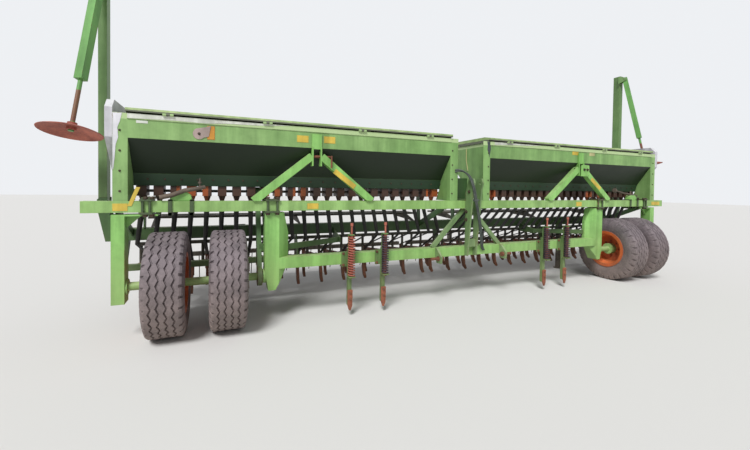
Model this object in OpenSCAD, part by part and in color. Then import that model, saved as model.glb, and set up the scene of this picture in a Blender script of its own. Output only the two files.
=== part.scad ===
// Mechanical seed drill, six metres wide, with two hoppers on one frame.
// X runs along the working width, Y to the rear, Z up; the floor is at Z = 0.
// The drill stands on its twin wheels and two rear legs, with its tools lifted.

/* [Wheels] */
// Outer diameter of a tyre
tyre_d = 760; // [700:5:820]
// Width of a tyre
tyre_w = 264; // [230:2:280]
// Diameter at the tyre's beads
bead_d = 389; // [370:1:410]
// Height of the rim's flanges over the beads
flange_h = 28; // [16:1:36]
// Width between the rim's flanges
rim_w = 229; // [200:1:228]
// Thickness of the rim's sheet
rim_t = 7; // [4:0.5:10]
// Centre of the inner wheel from the middle of the drill
wheel_in_x = 2260; // [2200:5:2300]
// Centre of the outer wheel from the middle of the drill
wheel_out_x = 2670; // [2620:5:2690]
// Diameter of the axle
axle_d = 60; // [40:2:80]
// Diameter of a wheel's hub
hub_d = 130; // [100:2:170]
// Length of a wheel's hub
hub_len = 150; // [100:5:200]
// Depth of the grooves in the tread
groove_h = 11; // [4:1:16]
// Width of the grooves in the tread
groove_w = 9; // [4:1:14]

/* [Frame beams] */
// Length of the front beam
front_beam_len = 6360; // [6300:10:6500]
// Height and depth of the front beam
front_beam_s = 80; // [70:2:100]
// Height of the front beam's top
beam_top_z = 990; // [960:5:1020]
// Length of the rear beam
rear_beam_len = 6360; // [6300:10:6500]
// Height and depth of the rear beam
rear_beam_s = 100; // [80:5:120]
// Front of the rear beam behind the front beam's face
rear_beam_y = 600; // [580:5:640]
// Underside of the rear beam
rear_beam_z = 636; // [610:2:670]
// Height and depth of the lower beam
lower_beam_s = 90; // [70:5:110]
// Underside of the lower beam
lower_beam_z = 440; // [420:5:470]
// Thickness of the frame's plates
plate_t = 12; // [8:1:16]
// Width of the frame's flat struts
strut_w = 60; // [40:5:80]

/* [Wheel legs] */
// Middle of an inner leg's front strip
inner_leg_x = 1935; // [1900:5:1950]
// Width of an inner leg's front strip
inner_leg_w = 110; // [90:5:130]
// Reach of an inner leg's slanted inner plate
leg_bevel = 86; // [60:2:100]
// Depth of the legs
leg_depth = 120; // [100:5:140]
// Bottom of the legs
leg_bottom_z = 270; // [240:5:300]
// Height at which the legs begin to taper
leg_taper_z = 430; // [410:5:480]
// Middle of an outer leg
outer_leg_x = 2970; // [2940:5:3000]
// Width of an outer leg
outer_leg_w = 80; // [60:5:100]
// Reach of an outer leg's head plate towards the middle
head_plate_reach = 200; // [140:5:220]
// Thickness of the clamp plates on the front beam
clamp_t = 14; // [8:1:20]
// Radius of the clamps' bolts
clamp_bolt_r = 9; // [6:0.5:12]

/* [Hoppers] */
// Inner end wall of a hopper from the middle of the drill
hopper_in_x = 240; // [225:5:270]
// Outer end wall of a hopper from the middle of the drill
hopper_out_x = 2915; // [2880:5:2930]
// Width of the flanges at a hopper's ends
end_flange_w = 85; // [50:5:90]
// Height of a hopper's rim
hopper_top_z = 1600; // [1560:5:1640]
// Foot of a hopper's upright front face
face_foot_z = 1430; // [1400:5:1460]
// Depth of a hopper at its rim
hopper_depth = 740; // [680:5:760]
// Top of the trough at a hopper's bottom
trough_top_z = 1190; // [1160:5:1220]
// Floor of a hopper
hopper_floor_z = 1100; // [1085:5:1120]
// Front of the trough behind the hopper's face
trough_y = 165; // [140:5:190]
// Width of the hopper's floor
floor_w = 170; // [140:5:200]
// Thickness of the hopper's sheet
sheet_t = 4; // [3:0.5:6]
// Height of the pale lip round the rim
lip_h = 38; // [20:2:60]
// How far the lip stands out
lip_t = 6; // [3:1:10]

/* [Lids] */
// Height of a lid's skirt at the back and ends
skirt_h = 85; // [60:5:100]
// Rise of a lid from its edge to its ridge
lid_rise = 14; // [6:1:30]
// Gap between lid and hopper
lid_gap = 6; // [5:1:10]
// Thickness of a lid's sheet
lid_t = 3; // [2:0.5:5]
// Radius of the lid's hinge pins
lid_pin_r = 5; // [4:0.5:7]
// Length of one lid hinge
lid_hinge_len = 70; // [50:5:100]

/* [End covers] */
// Thickness of a white end cover
cover_t = 45; // [25:5:60]
// Lowest point of an end cover
cover_bottom_z = 1210; // [1150:10:1300]
// Top of an end cover
cover_top_z = 1695; // [1650:5:1720]

/* [Front braces] */
// Middle of a brace from the middle of the drill
brace_x = 1580; // [1500:5:1650]
// Half the spread of a brace's feet
brace_spread = 500; // [420:10:560]
// Width of a brace's tubes
brace_tube = 60; // [40:5:70]
// Height of the ears' pin holes
brace_pin_z = 1360; // [1320:5:1400]
// Distance between the ears' outer faces
ear_span = 84; // [70:2:100]
// Radius of the brace pin
brace_pin_r = 11; // [8:0.5:14]

/* [Metering] */
// Number of metering units under each hopper
units = 24; // [20:1:24]
// Distance between metering units
unit_pitch = 112; // [100:1:112]
// Width of a metering unit
unit_w = 66; // [50:2:80]
// Height of a metering unit
unit_h = 78; // [60:2:90]
// Radius of the feed shaft
feed_shaft_r = 11; // [8:0.5:14]
// Radius of the feed wheels
feed_wheel_r = 30; // [22:1:32]
// Radius of a seed tube at its top
tube_top_r = 22; // [18:1:24]
// Radius of a seed tube at its bottom
tube_end_r = 16; // [12:1:17]
// Distance between rows
row_pitch = 125; // [120:1:125]

/* [Coulters] */
// Front of the coulter rail behind the front beam's face
rail_y = 500; // [490:5:520]
// Height and depth of the coulter rail
rail_s = 50; // [40:2:60]
// Underside of the coulter rail
rail_z = 400; // [380:5:420]
// Reach of the front row's arms
short_arm = 300; // [260:10:340]
// Reach of the rear row's arms
long_arm = 590; // [540:10:640]
// Thickness of a coulter's arm
arm_t = 10; // [8:1:14]
// Height of a coulter's arm
arm_h = 36; // [26:2:44]
// Height of the coulter tips above the ground
tip_z = 90; // [60:5:140]
// Width of a coulter's shoe
shoe_w = 26; // [18:1:34]
// Radius of a coulter spring's coil
coulter_coil_r = 14; // [10:1:18]

/* [Harrow and board] */
// Height of the harrow's bar
harrow_z = 330; // [300:5:380]
// Height and depth of the harrow's bar
harrow_s = 45; // [35:5:55]
// Distance between the harrow's bar and the rear beam
harrow_gap = 760; // [720:10:800]
// Number of tines on each half of the harrow
tines = 20; // [12:1:24]
// Distance between tines
tine_pitch = 140; // [110:5:140]
// Radius of a tine's wire
tine_r = 5; // [4:0.5:7]
// Height of the tine tips above the ground
tine_tip_z = 60; // [30:5:100]
// Height of the loading board
board_z = 800; // [780:5:860]
// Depth of the loading board
board_depth = 300; // [240:10:340]
// Number of long slats in the loading board
board_slats = 7; // [5:1:9]
// Width of a slat
slat_w = 24; // [16:2:32]

/* [Headstock] */
// Half the distance between the lower pins' shoulders
lower_pin_x = 412.5; // [400:2.5:430]
// Radius of the lower pins
lower_pin_r = 14.3; // [11:0.1:18.5]
// Length of a lower pin outside its shoulder
lower_pin_len = 70; // [60:2:90]
// Height of the lower pins
lower_pin_z = 440; // [420:5:460]
// Lower pins in front of the front beam's face
lower_pin_reach = 62; // [50:2:80]
// Height of the top link's pin
top_pin_z = 1165; // [1120:5:1200]
// Top link's pin in front of the front beam's face
top_pin_reach = 96; // [70:2:120]
// Radius of the hole for the top link's pin
top_hole_r = 13; // [10:0.5:16]
// Clear width between the mast's plates
mast_gap = 86; // [60:2:110]
// Thickness of the mast's plates
mast_t = 15; // [10:1:20]

/* [Wheel mark tines] */
// Distance of the outer pair from the middle of the drill
mark_out_x = 1300; // [1240:10:1400]
// Distance of the inner pair from the middle of the drill
mark_in_x = 965; // [900:5:1020]
// Depth of a shank
shank_d = 50; // [36:2:60]
// Width of a shank
shank_w = 22; // [16:1:30]
// Outer radius of a spring
spring_r = 33; // [26:1:38]
// Radius of a spring's wire
wire_r = 6; // [4:0.5:8]
// Number of turns in a spring
spring_turns = 20; // [12:1:24]
// Bottom of a spring
spring_z = 345; // [330:5:400]
// Height of the tine points above the ground
point_z = 20; // [10:2:60]

/* [Row markers] */
// Middle of a marker post from the middle of the drill
post_x = 3200; // [3180:5:3240]
// Width of a marker post
post_w = 60; // [50:2:70]
// Height of the post's hinge
post_hinge_z = 960; // [930:5:1000]
// Top of a marker post
post_top_z = 2820; // [2700:10:2900]
// Length of a marker arm's tube
arm_len = 900; // [800:10:950]
// Width of a marker arm's tube
arm_s = 60; // [50:2:66]
// Length of the stem below the tube
stem_len = 340; // [280:10:380]
// Radius of the stem
stem_r = 15; // [10:1:18]
// How far the arm leans outward for each unit down
arm_lean_out = 0.09; // [0.05:0.01:0.12]
// How far the arm leans forward for each unit down
arm_lean_front = 0.2; // [0.16:0.01:0.24]
// Diameter of a marker disc
disc_d = 390; // [340:5:400]
// Depth of a marker disc's dish
disc_dish = 42; // [20:2:60]
// Radius of the markers' hinge pins
marker_pin_r = 12; // [8:0.5:15]

/* [Parking legs] */
// Middle of a parking leg from the middle of the drill
stand_x = 2125; // [2115:1:2135]
// Width and depth of a parking leg's tube
stand_s = 50; // [40:2:56]
// Length of a parking leg's tube above its foot
stand_len = 640; // [600:10:680]
// Length of the sleeve round a parking leg
sleeve_len = 220; // [180:10:240]
// Thickness of the sleeve's wall
sleeve_t = 6; // [4:1:8]
// Diameter of a parking leg's foot
foot_d = 120; // [90:5:124]
// Thickness of a parking leg's foot
foot_t = 10; // [6:1:14]

/* [Fits] */
// Clearance of a turning or sliding fit
run_gap = 0.3; // [0.2:0.05:0.5]
// Clearance between a seated piece and its seat
seat_gap = 0.3; // [0.2:0.05:0.5]

/* [Hidden] */
$fn = 48;
eps = 1;

paint = "#5f9a4a";
pale_paint = "#a9cf7c";
dark_paint = "#2f5a30";
rust = "#8a4a33";
black = "#2b2b2b";
steel = "#8f918e";
orange = "#e07028";
white = "#e9e9e4";

// Places worked out from the sizes above
axle_z = tyre_d / 2;
axle_y = leg_depth / 2;
front_beam_z = beam_top_z - front_beam_s;
rear_beam_back = rear_beam_y + rear_beam_s;
rear_beam_top = rear_beam_z + rear_beam_s;
lower_beam_top = lower_beam_z + lower_beam_s;
hopper_mid = (hopper_in_x + hopper_out_x) / 2;
floor_y = trough_y + 25;
unit_y = floor_y + floor_w / 2;
shaft_z = hopper_floor_z - unit_h / 2;
shank_front = 150;
shank_y = -shank_front;
front_reach = max(tyre_d / 2 - axle_y, shank_front + spring_r);
harrow_y = rear_beam_back + harrow_gap;
tine_lean = 24;
tine_drop = harrow_z - tine_tip_z;
tine_y = harrow_y + harrow_s / 2 - tine_r;
rear_reach = tine_y + tine_drop * tan(tine_lean) + tine_r * cos(tine_lean);
front_y = (front_reach - rear_reach) / 2;

// Shared helpers: a plate lies in its plane and starts at the given place
module placed() {
    translate([0, front_y, 0]) children();
}

module both_sides() {
    children();
    mirror([1, 0, 0]) children();
}

module on_side(s) {
    mirror([s < 0 ? 1 : 0, 0, 0]) children();
}

module yz_plate(x, t) {
    translate([x, 0, 0]) rotate([90, 0, 90]) linear_extrude(t) children();
}

module xz_plate(y, t) {
    translate([0, y + t, 0]) rotate([90, 0, 0]) linear_extrude(t) children();
}

module flat_bar(a, b, w) {
    run = b - a;
    translate(a) rotate(atan2(run[1], run[0])) translate([0, -w / 2]) square([norm(run), w]);
}

module rod(a, b, ra, rb) {
    run = b - a;
    translate(a) rotate([0, acos(run[2] / norm(run)), atan2(run[1], run[0])])
        cylinder(h = norm(run), r1 = ra, r2 = rb);
}

module along_x(x, y, z) {
    translate([x, y, z]) rotate([0, 90, 0]) children();
}

// A closed outline moved inward by t, corner by corner
function line_dir(p, q) = (q - p) / norm(q - p);
function corner_in(p, q, r, t) =
    let (u = line_dir(p, q), v = line_dir(q, r), c = u[0] * v[1] - u[1] * v[0])
    q + t * (v - u) / c;
function moved_in(pts, t) = [for (i = [0 : len(pts) - 1])
    corner_in(pts[(i + len(pts) - 1) % len(pts)], pts[i], pts[(i + 1) % len(pts)], t)];

module front_beam() {
    color(pale_paint) placed()
        translate([-front_beam_len / 2, 0, front_beam_z])
            cube([front_beam_len, front_beam_s, front_beam_s]);
}

module rear_beam() {
    color(dark_paint) placed()
        translate([-rear_beam_len / 2, rear_beam_y, rear_beam_z])
            cube([rear_beam_len, rear_beam_s, rear_beam_s]);
}

// Carries the lower hitch and the wheel mark tines, and ends on the inner legs
lower_beam_half = inner_leg_x - inner_leg_w / 2 - leg_bevel;

module lower_beam() {
    color(paint) placed()
        translate([0, 0, lower_beam_z]) linear_extrude(lower_beam_s)
            polygon([[-lower_beam_half - leg_bevel, 0], [lower_beam_half + leg_bevel, 0],
                [lower_beam_half, leg_bevel], [lower_beam_half, lower_beam_s],
                [-lower_beam_half, lower_beam_s], [-lower_beam_half, leg_bevel]]);
}

// Flat struts from beam to beam and up to the hoppers, one at each hopper end
post_foot_y = rear_beam_y + 20;
strut_x = [hopper_in_x - plate_t, hopper_out_x + end_flange_w - plate_t];
post_x0 = [hopper_in_x - plate_t, hopper_out_x - plate_t];

module beam_strut() {
    difference() {
        flat_bar([front_beam_s / 2, beam_top_z - front_beam_s / 2],
            [rear_beam_y + rear_beam_s / 2, rear_beam_z + rear_beam_s / 2], strut_w);
        translate([0, front_beam_z]) square(front_beam_s);
        translate([rear_beam_y, rear_beam_z]) square(rear_beam_s);
        translate([0, leg_head_z - strut_w]) square([leg_depth + seat_gap, strut_w + seat_gap]);
    }
}

module hopper_post() {
    difference() {
        flat_bar([post_foot_y, rear_beam_top],
            [hopper_depth - strut_w, face_foot_z], strut_w);
        translate([post_foot_y - strut_w, rear_beam_top - strut_w]) square([3 * strut_w, strut_w]);
        rear_cut();
    }
}

module rear_cut() {
    polygon([for (p = moved_in(hopper_outline, -seat_gap)) p]);
}

module frame_struts() {
    color(dark_paint) placed() {
        both_sides() {
            for (x = strut_x) yz_plate(x, plate_t) beam_strut();
            for (x = post_x0) yz_plate(x, plate_t) hopper_post();
            leg_brace();
        }
        stand_sleeves();
    }
}

// Flat bar from each inner leg inward to a plate that stands forward under the rear beam
brace_plate_x = 10 * row_pitch;
brace_plate_y = 360;
brace_z = 575;
brace_h = 50;
brace_lap = 20;

module leg_brace() {
    translate([0, 0, brace_z]) linear_extrude(brace_h) intersection() {
        flat_bar([lower_beam_half + brace_lap, leg_depth - brace_lap],
            [brace_plate_x - brace_lap, brace_plate_y + 2 * brace_lap], plate_t);
        translate([brace_plate_x + plate_t / 2, 0])
            square([lower_beam_half - brace_plate_x - plate_t / 2, rear_beam_y]);
    }
    yz_plate(brace_plate_x - plate_t / 2, plate_t)
        polygon([[brace_plate_y, brace_z], [rear_beam_y, brace_z], [rear_beam_y, rear_beam_z + strut_w],
            [rear_beam_y - strut_w, rear_beam_z + strut_w / 2], [brace_plate_y, brace_z + brace_h]]);
}

// Sleeves for the parking legs, on the back of the rear beam
stand_y = rear_beam_back + sleeve_t + stand_s / 2 + run_gap;
sleeve_z = rear_beam_top - sleeve_len;

module stand_sleeves() {
    both_sides() difference() {
        translate([stand_x - stand_s / 2 - sleeve_t - run_gap, rear_beam_back, sleeve_z])
            cube([stand_s + 2 * (sleeve_t + run_gap), stand_s + 2 * (sleeve_t + run_gap), sleeve_len]);
        translate([stand_x - stand_s / 2 - run_gap, stand_y - stand_s / 2 - run_gap, sleeve_z - eps])
            cube([stand_s + 2 * run_gap, stand_s + 2 * run_gap, sleeve_len + 2 * eps]);
    }
}

module stand(s) {
    color(steel) placed() on_side(s) {
        translate([stand_x - stand_s / 2, stand_y - stand_s / 2, foot_t])
            cube([stand_s, stand_s, stand_len]);
        translate([stand_x, stand_y, 0]) cylinder(h = foot_t, d = foot_d);
    }
}

module stand_left() { stand(-1); }
module stand_right() { stand(1); }

// Legs that hang from the front beam and carry the axles
leg_head_z = front_beam_z - clamp_t;
inner_x0 = inner_leg_x - inner_leg_w / 2;
inner_x1 = inner_leg_x + inner_leg_w / 2;
bearing_d = 110;
bearing_t = 12;
axle_end_x = inner_x0 - 20;

module inner_leg() {
    difference() {
        union() {
            intersection() {
                translate([0, 0, leg_bottom_z]) linear_extrude(leg_head_z - leg_bottom_z)
                    polygon([[inner_x1, 0], [inner_x0, 0], [inner_x0 - leg_bevel, leg_bevel],
                        [inner_x0 - leg_bevel, leg_depth], [inner_x1, leg_depth]]);
                xz_plate(-eps, leg_depth + 2 * eps)
                    polygon([[inner_x1, leg_head_z], [inner_x1, leg_taper_z],
                        [inner_leg_x + inner_leg_w / 4, leg_bottom_z],
                        [inner_leg_x - inner_leg_w / 4, leg_bottom_z],
                        [inner_x0 - leg_bevel, leg_taper_z + leg_bevel / 2],
                        [inner_x0 - leg_bevel, leg_head_z - 2 * leg_bevel],
                        [inner_x0 - leg_bevel / 2, leg_head_z]]);
            }
            along_x(inner_leg_x, axle_y, axle_z)
                cylinder(h = inner_leg_w / 2 + bearing_t, d = bearing_d);
        }
        along_x(axle_end_x - run_gap, axle_y, axle_z)
            cylinder(h = 2 * inner_leg_w, r = axle_d / 2 + run_gap);
    }
}

module inner_legs() {
    color(paint) placed() both_sides() inner_leg();
}

outer_x0 = outer_leg_x - outer_leg_w / 2;

module outer_leg() {
    difference() {
        union() {
            translate([outer_x0, 0, leg_bottom_z])
                cube([outer_leg_w, leg_depth, leg_head_z - leg_bottom_z]);
            translate([outer_x0 - head_plate_reach, 0, leg_head_z - plate_t])
                cube([head_plate_reach + outer_leg_w, leg_depth, plate_t]);
            xz_plate(leg_depth / 2, plate_t)
                polygon([[outer_x0 + eps, leg_head_z - eps], [outer_x0 - head_plate_reach / 2, leg_head_z - eps],
                    [outer_x0 + eps, leg_head_z - head_plate_reach / 2]]);
            along_x(outer_x0 - bearing_t, axle_y, axle_z)
                cylinder(h = bearing_t + outer_leg_w / 2, d = bearing_d);
        }
        along_x(outer_x0 - 2 * bearing_t, axle_y, axle_z)
            cylinder(h = outer_leg_w + 3 * bearing_t, r = axle_d / 2 + run_gap);
    }
}

module outer_legs() {
    color(paint) placed() both_sides() outer_leg();
}

// Clamp plates above and below the front beam, with bolts in front of and behind it
module beam_clamp(x, w) {
    translate([x - w / 2, -2 * clamp_bolt_r - clamp_t / 2, beam_top_z + seat_gap])
        cube([w, front_beam_s + 4 * clamp_bolt_r + clamp_t, clamp_t]);
    for (dx = [-w / 2 + 2 * clamp_bolt_r, w / 2 - 2 * clamp_bolt_r], y = [-clamp_bolt_r - seat_gap,
            front_beam_s + clamp_bolt_r + seat_gap])
        translate([x + dx, y, leg_head_z])
            cylinder(h = front_beam_s + 3 * clamp_t, r = clamp_bolt_r);
}

clamp_out_x = outer_leg_x - 170;

module beam_clamps() {
    color(dark_paint) placed() both_sides() {
        beam_clamp(inner_leg_x, inner_leg_w);
        beam_clamp(clamp_out_x, outer_leg_w);
        clamp_foot(inner_leg_x, inner_leg_w);
        clamp_foot(clamp_out_x, outer_leg_w);
    }
}

module clamp_foot(x, w) {
    translate([x - w / 2, -2 * clamp_bolt_r - clamp_t / 2, front_beam_z - clamp_t])
        cube([w, front_beam_s + 4 * clamp_bolt_r + clamp_t, clamp_t - seat_gap]);
}

// Mast of two plates in front of the beams, with struts down to the lower beam
module mast_plate(x) {
    difference() {
        yz_plate(x, mast_t) polygon([[0, lower_beam_z], [0, front_beam_z], [0, beam_top_z + front_beam_s],
            [-top_pin_reach / 2, top_pin_z + 45], [-top_pin_reach - 20, top_pin_z + 45],
            [-top_pin_reach - 40, top_pin_z], [-top_pin_reach - 20, top_pin_z - 60],
            [-lower_beam_s / 2, lower_beam_z]]);
        along_x(x - eps, -top_pin_reach, top_pin_z) cylinder(h = mast_t + 2 * eps, r = top_hole_r);
    }
}

module headstock() {
    color(pale_paint) placed() {
        both_sides() mast_plate(mast_gap / 2);
        xz_plate(-lower_beam_s / 2, plate_t) translate([-mast_gap / 2, lower_beam_top])
            square([mast_gap, front_beam_s]);
        both_sides() {
            xz_plate(lower_beam_s - strut_w, strut_w / 2) difference() {
                flat_bar([mast_gap / 2, front_beam_z], [lower_pin_x, lower_beam_top], strut_w * 0.7);
                translate([-mast_gap, front_beam_z]) square([4 * mast_gap, front_beam_s]);
                translate([0, lower_beam_z]) square([2 * lower_pin_x, lower_beam_s]);
            }
            lower_bracket();
        }
    }
}

bracket_t = 22;
pin_shoulder = 8;
bracket_x = lower_pin_x - pin_shoulder - seat_gap - bracket_t;

module lower_bracket() {
    difference() {
        yz_plate(bracket_x, bracket_t)
            polygon([[0, lower_beam_top], [0, lower_beam_z], [-lower_pin_reach / 2, lower_pin_z - 45],
                [-lower_pin_reach - 30, lower_pin_z - 45], [-lower_pin_reach - 40, lower_pin_z + 20],
                [-lower_pin_reach / 2, lower_beam_top]]);
        along_x(bracket_x - bracket_t, -lower_pin_reach, lower_pin_z)
            cylinder(h = 3 * bracket_t, r = lower_pin_r + run_gap);
    }
}

// Stub pins for the tractor's lower links, through the brackets
module hitch_pins() {
    color(rust) placed() both_sides() difference() {
        union() {
            along_x(bracket_x - bracket_t - 4, -lower_pin_reach, lower_pin_z)
                cylinder(h = lower_pin_x + lower_pin_len - bracket_x + bracket_t + 4, r = lower_pin_r);
            for (x = [bracket_x - bracket_t, lower_pin_x - pin_shoulder])
                along_x(x, -lower_pin_reach, lower_pin_z)
                    cylinder(h = x < bracket_x ? bracket_t - seat_gap : pin_shoulder, r = lower_pin_r + 9);
        }
        translate([lower_pin_x + lower_pin_len - 10, -lower_pin_reach, lower_pin_z - 2 * lower_pin_r])
            cylinder(h = 4 * lower_pin_r, r = 5.5);
    }
}

// Hopper: a folded sheet trough with a lip, end walls and front flanges
hopper_outline = [[0, hopper_top_z], [0, face_foot_z], [trough_y, trough_top_z],
    [floor_y, hopper_floor_z], [floor_y + floor_w, hopper_floor_z],
    [hopper_depth, face_foot_z + 30], [hopper_depth, hopper_top_z]];
hopper_len = hopper_out_x - hopper_in_x;
function unit_x(j) = hopper_mid + (j - (units - 1) / 2) * unit_pitch;

module hopper() {
    difference() {
        union() {
            yz_plate(hopper_in_x, hopper_len) polygon(hopper_outline);
            // lip round the rim
            translate([hopper_in_x, -lip_t, hopper_top_z - lip_h])
                cube([hopper_len, hopper_depth + 2 * lip_t, lip_h]);
            end_flange(hopper_in_x - end_flange_w);
            end_flange(hopper_out_x);
            end_web(hopper_in_x);
            end_web(hopper_out_x - sheet_t);
            hopper_hinges();
        }
        yz_plate(hopper_in_x + sheet_t, hopper_len - 2 * sheet_t)
            polygon(concat(moved_in(hopper_outline, sheet_t), []));
        translate([hopper_in_x + sheet_t, sheet_t, hopper_top_z - 2 * sheet_t])
            cube([hopper_len - 2 * sheet_t, hopper_depth - 2 * sheet_t, lip_h]);
        for (j = [0 : units - 1])
            translate([unit_x(j) - unit_w / 4, unit_y - unit_w / 2, hopper_floor_z - eps])
                cube([unit_w / 2, unit_w, sheet_t + 2 * eps]);
    }
}

// Upright flange beside each end wall, from the rim down to the front beam
module end_flange(x) {
    translate([x, 0, beam_top_z]) cube([end_flange_w, sheet_t, hopper_top_z - beam_top_z]);
}

// Web between the flange and the hopper's slanted front wall
module end_web(x) {
    yz_plate(x, sheet_t)
        polygon([[0, face_foot_z], [0, beam_top_z], [floor_y + 60, beam_top_z],
            [floor_y, hopper_floor_z], [trough_y, trough_top_z]]);
}

hinge_y = -lip_t - lid_gap - lid_pin_r;
hinge_z = hopper_top_z + lid_pin_r;
knuckle_r = lid_pin_r + 4;
hinge_x = [hopper_in_x + 250, hopper_mid - 400, hopper_mid + 400, hopper_out_x - 250];

module hopper_hinges() {
    for (x = hinge_x) {
        along_x(x - lid_hinge_len / 2, hinge_y, hinge_z) cylinder(h = lid_hinge_len, r = lid_pin_r);
        for (dx = [-lid_hinge_len / 2, lid_hinge_len / 6]) {
            along_x(x + dx, hinge_y, hinge_z) cylinder(h = lid_hinge_len / 3, r = knuckle_r);
            translate([x + dx, hinge_y, hinge_z - knuckle_r])
                cube([lid_hinge_len / 3, -hinge_y, knuckle_r - lid_pin_r]);
        }
    }
}

module hopper_left() { color(paint) placed() on_side(-1) hopper(); }
module hopper_right() { color(paint) placed() on_side(1) hopper(); }

// Lid: a shallow pan, ridged along its length, hinged at the hopper's front rim
lid_y0 = hinge_y;
lid_y1 = hopper_depth + lip_t + lid_gap + lid_t;
lid_x0 = hopper_in_x - lid_gap - lid_t;
lid_x1 = hopper_out_x + lid_gap + lid_t;
lid_z = hinge_z + knuckle_r + 2;
lid_edge_z = hopper_top_z + skirt_h - lid_rise;

skirt_z = hopper_top_z - lid_gap;
skirt_y = lid_gap * 2.5;
lid_slope = 90;

module lid_section(t, low) {
    polygon([[lid_y0 + t, lid_z - eps * sign(t)], [lid_y0 + t, lid_edge_z - t],
        [lid_y0 + lid_slope, lid_edge_z + lid_rise - t], [lid_y1 - lid_slope, lid_edge_z + lid_rise - t],
        [lid_y1 - t, lid_edge_z - t], [lid_y1 - t, low], [skirt_y, low], [skirt_y, lid_z - eps * sign(t)]]);
}

module lid() {
    difference() {
        union() {
            yz_plate(lid_x0, lid_x1 - lid_x0) lid_section(0, skirt_z);
            for (x = hinge_x) lid_knuckle(x);
        }
        yz_plate(lid_x0 + lid_t, lid_x1 - lid_x0 - 2 * lid_t) {
            lid_section(lid_t, skirt_z - eps);
            translate([lid_y0 + lid_t, skirt_z - eps]) square([2 * skirt_y, lid_z - skirt_z]);
        }
    }
}

module lid_knuckle(x) {
    difference() {
        union() {
            along_x(x - lid_hinge_len / 6 + 1, hinge_y, hinge_z)
                cylinder(h = lid_hinge_len / 3 - 2, r = knuckle_r);
            translate([x - lid_hinge_len / 6 + 1, hinge_y, hinge_z])
                cube([lid_hinge_len / 3 - 2, lid_t, lid_z - hinge_z + eps]);
        }
        along_x(x - lid_hinge_len, hinge_y, hinge_z)
            cylinder(h = 2 * lid_hinge_len, r = lid_pin_r + run_gap);
    }
}

module lid_left() { color(pale_paint) placed() on_side(-1) lid(); }
module lid_right() { color(pale_paint) placed() on_side(1) lid(); }

// White moulded covers on the hoppers' outer ends
module end_covers() {
    color(white) placed() both_sides()
        yz_plate(hopper_out_x + end_flange_w + seat_gap, cover_t)
            polygon([[0, cover_top_z - 60], [0, face_foot_z], [floor_y, cover_bottom_z],
                [floor_y + floor_w, cover_bottom_z], [hopper_depth, face_foot_z],
                [hopper_depth, cover_top_z - 60], [hopper_depth - 60, cover_top_z],
                [60, cover_top_z]]);
}

// A-shaped braces that hold the hoppers' front faces up from the front beam
ear_t = 12;
ear_y = -20;
pin_tail = ear_span / 2 + 85;
pin_handle = 95;

module front_braces() {
    color(paint) placed() both_sides() translate([brace_x, 0, 0]) brace();
}

module brace() {
    foot_z = beam_top_z;
    difference() {
        union() {
            for (s = [-1, 1]) {
                xz_plate(ear_y, brace_tube) difference() {
                    flat_bar([s * brace_spread, foot_z], [s * ear_span / 2, brace_pin_z], brace_tube);
                    translate([-2 * brace_spread, foot_z - 2 * brace_tube])
                        square([4 * brace_spread, 2 * brace_tube]);
                    translate([-ear_span / 2 + ear_t, foot_z])
                        square([ear_span - 2 * ear_t, 2 * brace_tube + brace_pin_z]);
                }
                translate([s * ear_span / 2 - (s > 0 ? ear_t : 0), ear_y, brace_pin_z - 80])
                    cube([ear_t, brace_tube, 160]);
            }
            xz_plate(-seat_gap - plate_t, plate_t) translate([-ear_span / 2, face_foot_z - 10])
                square([ear_span, 125]);
        }
        along_x(-pin_tail, ear_y + brace_tube / 2, brace_pin_z)
            cylinder(h = 2 * pin_tail, r = brace_pin_r + run_gap);
        brace_clear();
    }
}

// Room for the hopper's slanted front wall behind the braces
module brace_clear() {
    yz_plate(-brace_spread, 2 * brace_spread)
        polygon([[-seat_gap, hopper_top_z], [-seat_gap, face_foot_z], [trough_y, trough_top_z],
            [hopper_depth, trough_top_z], [hopper_depth, hopper_top_z]]);
}

// Pins through the ears; the left one ends in a bent handle
module brace_pins() {
    color(rust) placed() {
        translate([brace_x, ear_y + brace_tube / 2, brace_pin_z])
            along_x(-ear_span / 2 - 20, 0, 0) cylinder(h = ear_span + 40, r = brace_pin_r);
        translate([-brace_x, ear_y + brace_tube / 2, brace_pin_z]) {
            along_x(-ear_span / 2 - 20, 0, 0) cylinder(h = ear_span / 2 + 20 + pin_tail, r = brace_pin_r);
            translate([pin_tail - brace_pin_r, 0, 0]) rotate([90, 0, 0])
                cylinder(h = brace_tube, r = brace_pin_r * 0.7);
            translate([pin_tail - brace_pin_r, -brace_tube + 2, -pin_handle])
                cylinder(h = pin_handle + brace_pin_r * 0.7, r = brace_pin_r * 0.7);
        }
    }
}

// Metering units under the hopper floors, each round a fluted feed wheel
module metering_unit(x) {
    difference() {
        union() {
            translate([x - unit_w / 2, unit_y - floor_w / 2 + 15, hopper_floor_z - unit_h])
                cube([unit_w, floor_w - 30, unit_h - seat_gap]);
            translate([x, unit_y, hopper_floor_z - unit_h - 40])
                cylinder(h = 40 + eps, r1 = tube_top_r - 6, r2 = unit_w / 2 - 4);
        }
        along_x(x - unit_w, unit_y, shaft_z) cylinder(h = 2 * unit_w, r = feed_shaft_r + run_gap);
    }
}

module metering_units() {
    color(orange) placed() both_sides() for (j = [0 : units - 1]) metering_unit(unit_x(j));
}

// Feed shafts through the metering units, with a feed wheel between units
module feed_shafts() {
    color(steel) placed() both_sides() {
        along_x(gearbox_w / 2 + seat_gap, unit_y, shaft_z)
            cylinder(h = unit_x(units - 1) + unit_w - gearbox_w / 2, r = feed_shaft_r);
    }
}

gearbox_w = 200;

// Seed tubes from the metering units to the coulters
tube_mid_y = 470;
tube_mid_z = 620;
function row_x(i) = (i + 0.5) * row_pitch;
function boot_y(i) = rail_y + rail_s + (i % 2 == 0 ? short_arm : long_arm);
boot_top_z = 396;

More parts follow.
